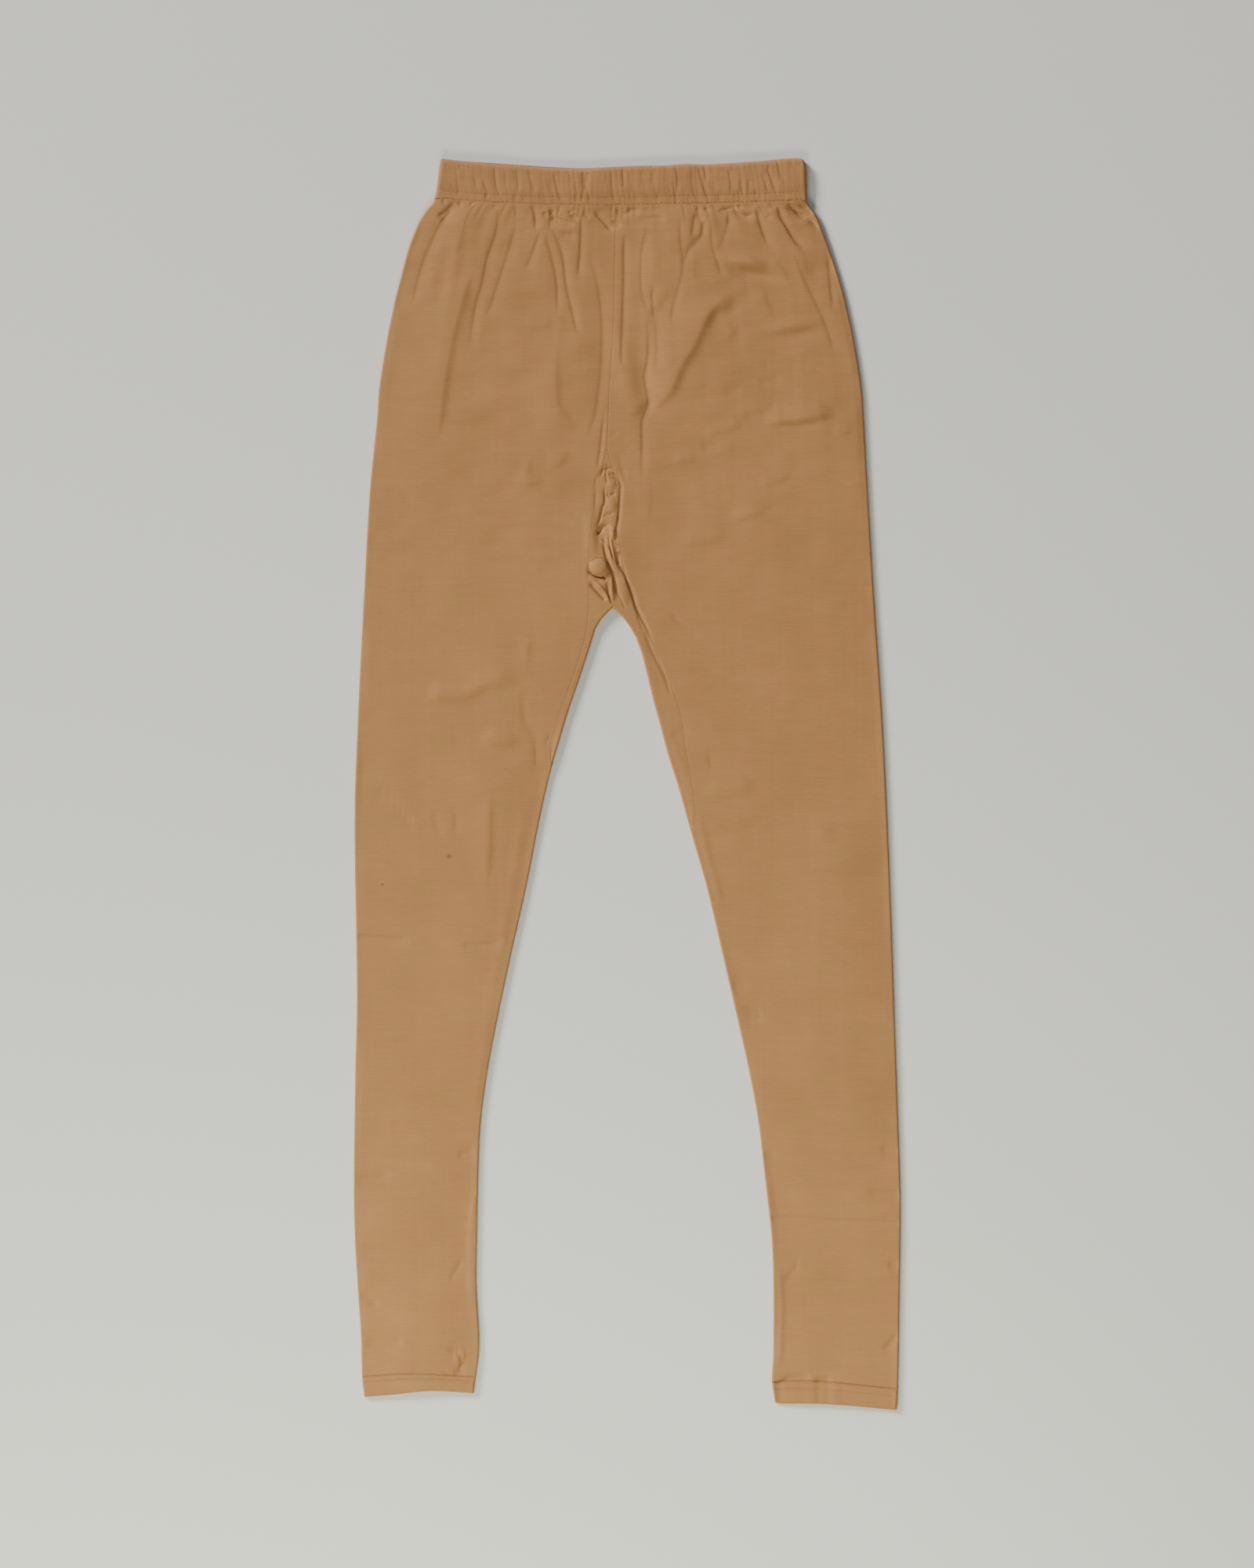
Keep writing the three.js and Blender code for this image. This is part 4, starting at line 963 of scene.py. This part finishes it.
def flat_ring(rows, back_rows, left, right, height, top_z, columns, back_columns):
    """Rows of a flattened ring, from its left fold over the front, round the right fold and back
    underneath. rows(x) and back_rows(x) give the distance down, and top_z(x, down) the front."""
    left, right, height = [np.asarray(values, float)[:, None] for values in (left, right, height)]
    radius = height / 2
    t = np.linspace(0, 1, columns)[None, :]
    x = left + radius + (right - left - 2 * radius) * t
    down = rows(x)
    front = np.stack([x, down, top_z(x, down)], axis=-1)
    angles = np.linspace(0, math.pi, ROUND_COLUMNS + 2)[1:-1][None, :]
    turn = angles / math.pi
    ax = right - radius + radius * np.sin(angles)
    ad = rows(ax) * (1 - turn) + back_rows(ax) * turn
    right_fold = np.stack([ax, ad, radius + radius * np.cos(angles)], axis=-1)
    bx = right - radius + (left - right + 2 * radius) * np.linspace(0, 1, back_columns)[None, :]
    back = back_layer(bx, back_rows(bx))
    cx = left + radius - radius * np.sin(angles)
    cd = back_rows(cx) * (1 - turn) + rows(cx) * turn
    left_fold = np.stack([cx, cd, radius - radius * np.cos(angles)], axis=-1)
    return np.concatenate([front, right_fold, back, left_fold, front[:, :1]], axis=1)


def inside_of(ring, left, right, tall, wall):
    """The same rows from the last to the first, one wall further in."""
    inner = ring[::-1].copy()
    middle = tall[::-1, None] / 2
    inner[..., 2] = middle + (inner[..., 2] - middle) * np.clip(1 - wall / middle, 0.12, 1)
    centre, half = (left + right)[::-1, None] / 2, (right - left)[::-1, None] / 2
    inner[..., 0] = centre + (inner[..., 0] - centre) * (1 - wall / half)
    return inner


def band_profile(share):
    """Height of the casing across its depth: rounded top, plump over the elastic, and flatter in
    the strip between the two rows of stitching."""
    top = 0.5 + 0.5 * np.sqrt(ease(share / 0.12))
    waist = 1 - (1 - BAND_SEAM_SHARE) * ease((share - 0.62) / 0.25)
    rows = 0.015 * np.exp(-((share - BAND_STITCH_SHARE) / 0.03) ** 2)
    return top * waist - rows


def band_front(x, down):
    """Height of the casing's front: plump between its gathers, with the placed creases on it."""
    share = np.clip((down - band_top(x)) / (waist_seam(x) - band_top(x)), 0, 1)
    size = sizes()
    lean = 4.0 * (share - 0.5) * ease(np.minimum(x + 156, 147 - x) / 25)
    placed = x - lean + 0.7 * SOFT_CRUMPLE(x, down)
    strip = 1 - 0.25 * ease((share - BAND_STITCH_SHARE + 0.04) / 0.06)
    swell = CASING_SWELL * gather_swell(placed, 0.55) * size.gather_depth / MM * strip
    small = (0.10 * LONG_WRINKLES(x, down) + 0.08 * FINE_CRUMPLE(down * 1.5, x * 2)
             + 0.25 * SOFT_CRUMPLE(x, down))
    creases = crease_heights(x.ravel(), down.ravel(), BAND_CREASES).reshape(x.shape)
    edge = ease(np.minimum(x + 152, 146.5 - x) / 6)
    tall = size.band_height / MM * band_profile(share)
    return tall + (swell + small + creases) * edge - WAIST_DIP * beside_seam((1 - share) * 30)


def band_shell():
    """The casing: its inside from the waist seam up, and its outside down to the seam again."""
    share = np.concatenate([
        np.linspace(0, 0.12, 8)[:-1], np.linspace(0.12, 0.97, 34), [0.98, 0.99, 0.9995]])
    tall = sizes().band_height / MM * band_profile(share)
    left = band_left(band_top(-150.0) + (BAND_FOOT - band_top(-150.0)) * share)
    right = band_right(band_top(144.0) + (BAND_FOOT - band_top(144.0)) * share)
    s = share[:, None]

    def rows(x):
        return band_down(x, s)

    def back_rows(x):
        return rows(x) - 0.9 * (1 - s) * ease((x + 140) / 30) * ease((-12 - x) / 25)

    outside = flat_ring(rows, back_rows, left, right, tall, band_front, BAND_COLUMNS, 80)
    inside = inside_of(outside, left, right, tall, CASING_WALL)
    return np.concatenate([inside, outside[1:], turned_in(outside)], axis=0)


def hem_thinning(share):
    """Share of a hem's height that is left towards its rounded lower edge."""
    return 1 - 0.40 * ease((share - 0.86) / 0.14) ** 2


def hem_front(side, share, x, down):
    """Height of a hem's front: it goes on from the leg, with one more layer of cloth turned in."""
    body = front_height(side, x.ravel(), np.minimum(down, HEM_ROW).ravel()).reshape(x.shape)
    layer = 0.35 * ease(share / 0.1)
    rows = sum(np.exp(-((share - row) * HEM_DEPTH / 0.6) ** 2) for row in HEM_STITCH_SHARES[side])
    waves = 0.12 * LONG_WRINKLES(x * 1.1, down) + 0.08 * FINE_CRUMPLE(x, down)
    lip = EDGE_DIP * beside_seam(share * HEM_DEPTH)
    return (body + layer + waves - 0.6 * rows) * hem_thinning(share) - lip


def hem_shell(side):
    """A hem turned up inside: its outside from the seam to the lower edge, and back up within."""
    share = np.concatenate([
        [0, 0.02, 0.04, 0.06], np.linspace(0.09, 0.9, 24), np.linspace(0.925, 1, 4)])
    seam, edge = hem_seam[side], hem_edge[side]
    at = HEM_MIDDLES[side] + (HEM_DEPTH + 1) * share
    folds = (outer_fold[side](at), inner_fold[side](at))
    left, right = folds if side < 0 else folds[::-1]
    tall = sizes().flat_height / MM * hem_thinning(share)
    s = share[:, None]

    def rows(x):
        return seam(x) + HEM_GAP + (edge(x) - seam(x) - HEM_GAP) * s

    def front(x, down):
        return hem_front(side, s, x, down)

    outside = flat_ring(rows, rows, left, right, tall, front, 150, 40)
    inside = inside_of(outside, left, right, tall, HEM_WALL)
    return np.concatenate([turned_in(outside[::-1])[::-1], outside, inside[1:]], axis=0)


def thread_rows(name, lines, material):
    """Stitches laid along lines of (x, down, z) points, as short flattened beads of thread."""
    size = sizes()
    length, width = size.stitch_length / MM, size.thread_width / MM
    rings, sides = 5, 6
    along = np.linspace(-0.5, 0.5, rings)
    fat = np.sqrt(np.clip(1 - (2 * along) ** 2, 0.03, 1))
    around = np.linspace(0, 2 * math.pi, sides + 1)
    grids = []
    for line in lines:
        steps = np.hypot(*np.diff(line[:, :2], axis=0).T)
        reach = np.concatenate([[0], np.cumsum(steps)])
        centres = np.arange(length / 2, reach[-1] - length / 2, length + STITCH_SPACE)
        for at in centres:
            place = np.array([np.interp(at + along * length, reach, line[:, k]) for k in range(3)])
            way = place[:, -1] - place[:, 0]
            way = way / np.linalg.norm(way)
            across = np.array([-way[1], way[0], 0])
            ring = place.T[:, None, :] + fat[:, None, None] * width / 2 * (
                np.cos(around)[None, :, None] * across + np.sin(around)[None, :, None] * [0, 0, 0.8])
            grids.append(ring)
    return dress(mesh_from(name, grids), material)


def new_material(name):
    """An empty material, its node tree, and places on the object in metres."""
    material = bpy.data.materials.new(name)
    material.use_nodes = True
    tree = material.node_tree
    tree.nodes.clear()
    return material, tree, add(tree, "TexCoord").outputs["Object"]


def add(tree, kind, settings=None, **links):
    """Adds a shader node, sets its fields and plain inputs, and links inputs given as sockets. An
    input is named with _ for each space, or by its number, such as i6."""
    node = tree.nodes.new("ShaderNode" + kind)
    for field, value in (settings or {}).items():
        setattr(node, field, value)
    for key, value in links.items():
        number = key[1:]
        socket = node.inputs[int(number) if number.isdigit() else key.replace("_", " ")]
        if isinstance(value, bpy.types.NodeSocket):
            tree.links.new(value, socket)
        else:
            socket.default_value = value
    return node


def noise(tree, place, size, detail, roughness=0.5):
    """Soft noise with patches of a size in metres, one for all ways or one along each axis."""
    if isinstance(size, tuple):
        place = add(tree, "Mapping", Vector=place, Scale=tuple(1 / s for s in size)).outputs[0]
        size = 1.0
    made = add(tree, "TexNoise", Vector=place, Scale=1 / size, Detail=detail, Roughness=roughness)
    return made.outputs["Fac"]


def times(tree, tone, factor):
    """A colour multiplied by another colour or by a number."""
    return add(tree, "Mix", {"data_type": "RGBA", "blend_type": "MULTIPLY"},
               i0=1.0, i6=tone, i7=factor).outputs[2]


def shade(tree, tone, pattern, low, high, dark, pale):
    """A colour times a factor that goes from dark to pale as a pattern goes from low to high."""
    ramp = add(tree, "MapRange", Value=pattern, From_Min=low, From_Max=high, To_Min=dark, To_Max=pale)
    return times(tree, tone, ramp.outputs[0])


def camel_jersey(name, colour, spots=()):
    """Cotton jersey with a little elastane, circular knitted and piece dyed: matte, with a faint
    nap, slubs that run as darker and paler threads across the leg, and a dry fine grain."""
    material, tree, place = new_material(name)
    # Slub threads are 0.5 mm thick and 15 to 60 mm long; drawn 1.3 mm thick so that they show
    slub = noise(tree, place, (0.030, 0.0013, 0.02), 3.0, 0.62)
    thread = noise(tree, place, (0.0085, 0.00085, 0.02), 2.0, 0.6)
    patches = noise(tree, place, 0.055, 3.0, 0.55)
    bands = noise(tree, place, (0.25, 0.011, 0.1), 2.0)
    # Wales of the knit run down the leg; drawn in bundles 4 mm wide so that they show
    wales = noise(tree, place, (0.004, 0.16, 0.1), 2.0)
    tone = (*colour, 1)
    for pattern, low, high, dark, pale in (
            (slub, 0.3, 0.7, 0.965, 1.03),
            (thread, 0.3, 0.7, 0.96, 1.04),
            (patches, 0.3, 0.7, 0.955, 1.045),
            (bands, 0.35, 0.65, 0.99, 1.01),
            (wales, 0.3, 0.7, 0.985, 1.015)):
        tone = shade(tree, tone, pattern, low, high, dark, pale)
    # Uneven dye, in clouds of 15 to 30 mm, a little yellower here and redder there
    clouds = noise(tree, place, 0.022, 2.0)
    cloud = add(tree, "MapRange", Value=clouds, From_Min=0.35, From_Max=0.65)
    dye = add(tree, "Mix", {"data_type": "RGBA"}, i0=cloud.outputs[0], i6=(1.0, 0.975, 0.98, 1),
              i7=(0.99, 1.01, 0.97, 1))
    tone = times(tree, tone, dye.outputs[2])
    for x, down, size in spots:
        centre = (x * MM, (HALF_LENGTH - down) * MM, 0)
        flat = add(tree, "VectorMath", {"operation": "MULTIPLY"}, i0=place, i1=(1, 1, 0))
        away = add(tree, "VectorMath", {"operation": "DISTANCE"}, i0=flat.outputs[0], i1=centre)
        tone = shade(tree, tone, away.outputs["Value"], size * MM * 0.4, size * MM, 0.62, 1.0)
    # Knitted loops lie 0.6 mm apart; drawn 1.2 mm apart so that the grain shows
    loops = add(tree, "TexVoronoi", {"feature": "F1"}, Vector=place, Scale=1 / 0.0012)
    grain = add(tree, "Bump", Strength=0.18, Distance=0.0002, Height=loops.outputs["Distance"])
    ridges = add(tree, "Bump", Strength=0.3, Distance=0.0003, Height=slub, Normal=grain.outputs[0])
    fine = add(tree, "Bump", Strength=0.35, Distance=0.0002, Height=thread, Normal=ridges.outputs[0])
    shader = add(tree, "BsdfPrincipled", Base_Color=tone, Roughness=0.88, Normal=fine.outputs[0],
                 Specular_IOR_Level=0.22, Sheen_Weight=0.08, Sheen_Roughness=0.5)
    add(tree, "OutputMaterial", Surface=shader.outputs[0])
    return material


def spun_thread(name, colour):
    """Spun polyester sewing thread, dyed to match: slightly glossier than the jersey."""
    material, tree, place = new_material(name)
    plies = noise(tree, place, 0.0009, 1.0)
    tone = shade(tree, (*colour, 1), plies, 0.3, 0.7, 0.85, 1.08)
    shader = add(tree, "BsdfPrincipled", Base_Color=tone, Roughness=0.6)
    add(tree, "OutputMaterial", Surface=shader.outputs[0])
    return material


def painted_board(name, colour):
    """Matte painted board, rolled on evenly: pale, with a very faint mottle a third of a metre wide."""
    material, tree, place = new_material(name)
    mottle = noise(tree, place, 1 / 3, 2.0)
    tone = shade(tree, (*colour, 1), mottle, 0.0, 1.0, 0.985, 1.0)
    shader = add(tree, "BsdfPrincipled", Base_Color=tone, Roughness=0.9)
    add(tree, "OutputMaterial", Surface=shader.outputs[0])
    return material


def shared_material(name, make, *details):
    """A material that several pieces share, made once."""
    return bpy.data.materials.get(name) or make(name, *details)


def leg_jersey():
    return shared_material("camel jersey leg", camel_jersey, tuple(colours().jersey), SPOTS)


class LEGGINGS_OT_stage(bpy.types.Operator):
    """Camera straight above the leggings, soft lights and a pale floor"""
    bl_idname = "leggings.stage"
    bl_label = "Camera, lights and floor"

    def execute(self, context):
        scene = context.scene
        photo_height = 1.28  # metres of the surface that the photograph's longer side covers
        camera_height = 2.6
        camera = bpy.data.objects.new("camera", bpy.data.cameras.new("camera"))
        camera.location = (0, 0, camera_height)
        camera.data.sensor_width = 36
        camera.data.lens = camera.data.sensor_width * camera_height / photo_height
        camera.data.clip_end = 50
        scene.collection.objects.link(camera)
        scene.camera = camera

        half_floor, floor_z = 6.0, -0.0004
        corners = [(-1, -1), (1, -1), (1, 1), (-1, 1)]
        corners = [(x * half_floor, y * half_floor, floor_z) for x, y in corners]
        mesh = bpy.data.meshes.new("floor")
        mesh.from_pydata(corners, [], [(0, 1, 2, 3)])
        floor = bpy.data.objects.new("floor", mesh)
        floor.data.materials.append(shared_material("painted board", painted_board, tuple(colours().floor)))
        scene.collection.objects.link(floor)

        world = scene.world or bpy.data.worlds.new("studio")
        scene.world = world
        world.use_nodes = True
        sky = world.node_tree.nodes.get("Background")
        sky.inputs["Color"].default_value = (1.0, 1.0, 1.0, 1)
        sky.inputs["Strength"].default_value = 0.14

        def soft_light(name, size, power, place, target=(0, 0, 0), colour=(1, 1, 1)):
            light = bpy.data.objects.new(name, bpy.data.lights.new(name, "AREA"))
            light.data.color = colour
            light.data.shape = "RECTANGLE"
            light.data.size, light.data.size_y = size
            light.data.energy = power
            light.location = place
            aim = np.array(target, float) - np.array(place, float)
            light.rotation_euler = Vector(aim).to_track_quat("-Z", "Y").to_euler()
            scene.collection.objects.link(light)

        soft_light("window", (2.6, 2.1), 1120, (-6.25, 5.38, 3.25))
        soft_light("fill", (2.2, 2.2), 9, (1.6, -1.4, 2.2))
        soft_light("foot", (1.2, 0.5), 30, (-0.4, -1.6, 1.1), (0, -0.45, 0), (0.95, 1.0, 0.8))
        return {"FINISHED"}


class LEGGINGS_OT_waistband(bpy.types.Operator):
    """Elastic casing with its leaning gathers, replacing the plain waistband"""
    bl_idname = "leggings.waistband"
    bl_label = "Waistband"

    def execute(self, context):
        band = mesh_from("waistband_cloth", [band_shell()])
        # The casing wears a darker copy of the leg jersey: painted shade for the gathered waist.
        dress(band, shared_material("camel jersey waistband", camel_jersey, tuple(colours().band)),
              ["waistband"])
        return {"FINISHED"}


class LEGGINGS_OT_legs(bpy.types.Operator):
    """Both leg panels with their puckers and creases, replacing the plain ones"""
    bl_idname = "leggings.legs"
    bl_label = "Leg panels"

    def execute(self, context):
        for side, name in SIDES:
            leg = mesh_from(f"leg_{name}_cloth", [leg_shell(side)])
            dress(leg, leg_jersey(), [f"leg_{name}"])
        return {"FINISHED"}


class LEGGINGS_OT_gusset(bpy.types.Operator):
    """Crumpled crotch gusset, replacing the plain one"""
    bl_idname = "leggings.gusset"
    bl_label = "Crotch gusset"

    def execute(self, context):
        gusset = mesh_from("gusset_cloth", [gusset_shell()])
        dress(gusset, leg_jersey(), ["gusset"])
        return {"FINISHED"}


class LEGGINGS_OT_hems(bpy.types.Operator):
    """Turned hems of both legs, replacing the plain ones"""
    bl_idname = "leggings.hems"
    bl_label = "Hems"

    def execute(self, context):
        for side, name in SIDES:
            hem = mesh_from(f"hem_{name}_cloth", [hem_shell(side)])
            dress(hem, leg_jersey(), [f"hem_{name}"])
            around = 2 * abs(outer_fold[side](HEM_ROW) - inner_fold[side](HEM_ROW)) * MM
        return {"FINISHED"}


class LEGGINGS_OT_stitching(bpy.types.Operator):
    """Two rows of stitches on the waistband and on each hem"""
    bl_idname = "leggings.stitching"
    bl_label = "Stitching"

    def execute(self, context):
        thread = shared_material("spun thread", spun_thread, tuple(colours().thread))
        lines = []
        for share in (BAND_STITCH_SHARE, LOWER_STITCH_SHARE):
            x = np.linspace(-151, 143, 700)
            down = band_down(x, share)
            lines.append(np.stack([x, down, band_front(x, down) + STITCH_LIFT], axis=1))
        thread_rows("waistband_stitches", lines, thread)
        for side, name in SIDES:
            seam, edge = hem_seam[side], hem_edge[side]
            lines = []
            for share in HEM_STITCH_SHARES[side]:
                inner_end = inner_fold[side](HEM_ROW) + side * 2.2
                outer_end = outer_fold[side](HEM_ROW) - side * 2.2
                x = np.linspace(*sorted((inner_end, outer_end)), 200)
                down = seam(x) + (edge(x) - seam(x)) * share
                z = hem_front(side, np.full(x.shape, share), x, down) + STITCH_LIFT
                lines.append(np.stack([x, down, z], axis=1))
            thread_rows(f"hem_{name}_stitches", lines, thread)
        return {"FINISHED"}


class LEGGINGS_PT_panel(bpy.types.Panel):
    """Sizes, colours and pieces of the leggings"""
    bl_label = "Leggings"
    bl_idname = "LEGGINGS_PT_panel"
    bl_space_type = "VIEW_3D"
    bl_region_type = "UI"
    bl_category = "Leggings"

    def draw(self, context):
        for group in (context.scene.leggings_sizes, context.scene.leggings_colours):
            for field in group.__annotations__:
                self.layout.prop(group, field)
        for operator in OPERATORS:
            self.layout.operator(operator.bl_idname)


OPERATORS = (
    LEGGINGS_OT_stage, LEGGINGS_OT_waistband, LEGGINGS_OT_legs, LEGGINGS_OT_gusset, LEGGINGS_OT_hems,
    LEGGINGS_OT_stitching,
)
CLASSES = (LeggingsSizes, LeggingsColours, *OPERATORS, LEGGINGS_PT_panel)


def register():
    for one in CLASSES:
        bpy.utils.register_class(one)
    bpy.types.Scene.leggings_sizes = bpy.props.PointerProperty(type=LeggingsSizes)
    bpy.types.Scene.leggings_colours = bpy.props.PointerProperty(type=LeggingsColours)


def unregister():
    del bpy.types.Scene.leggings_colours
    del bpy.types.Scene.leggings_sizes
    for one in reversed(CLASSES):
        bpy.utils.unregister_class(one)


def main():
    register()
    bpy.ops.leggings.stage()
    bpy.ops.leggings.waistband()
    bpy.ops.leggings.legs()
    bpy.ops.leggings.gusset()
    bpy.ops.leggings.hems()
    bpy.ops.leggings.stitching()


if __name__ == "__main__":
    main()
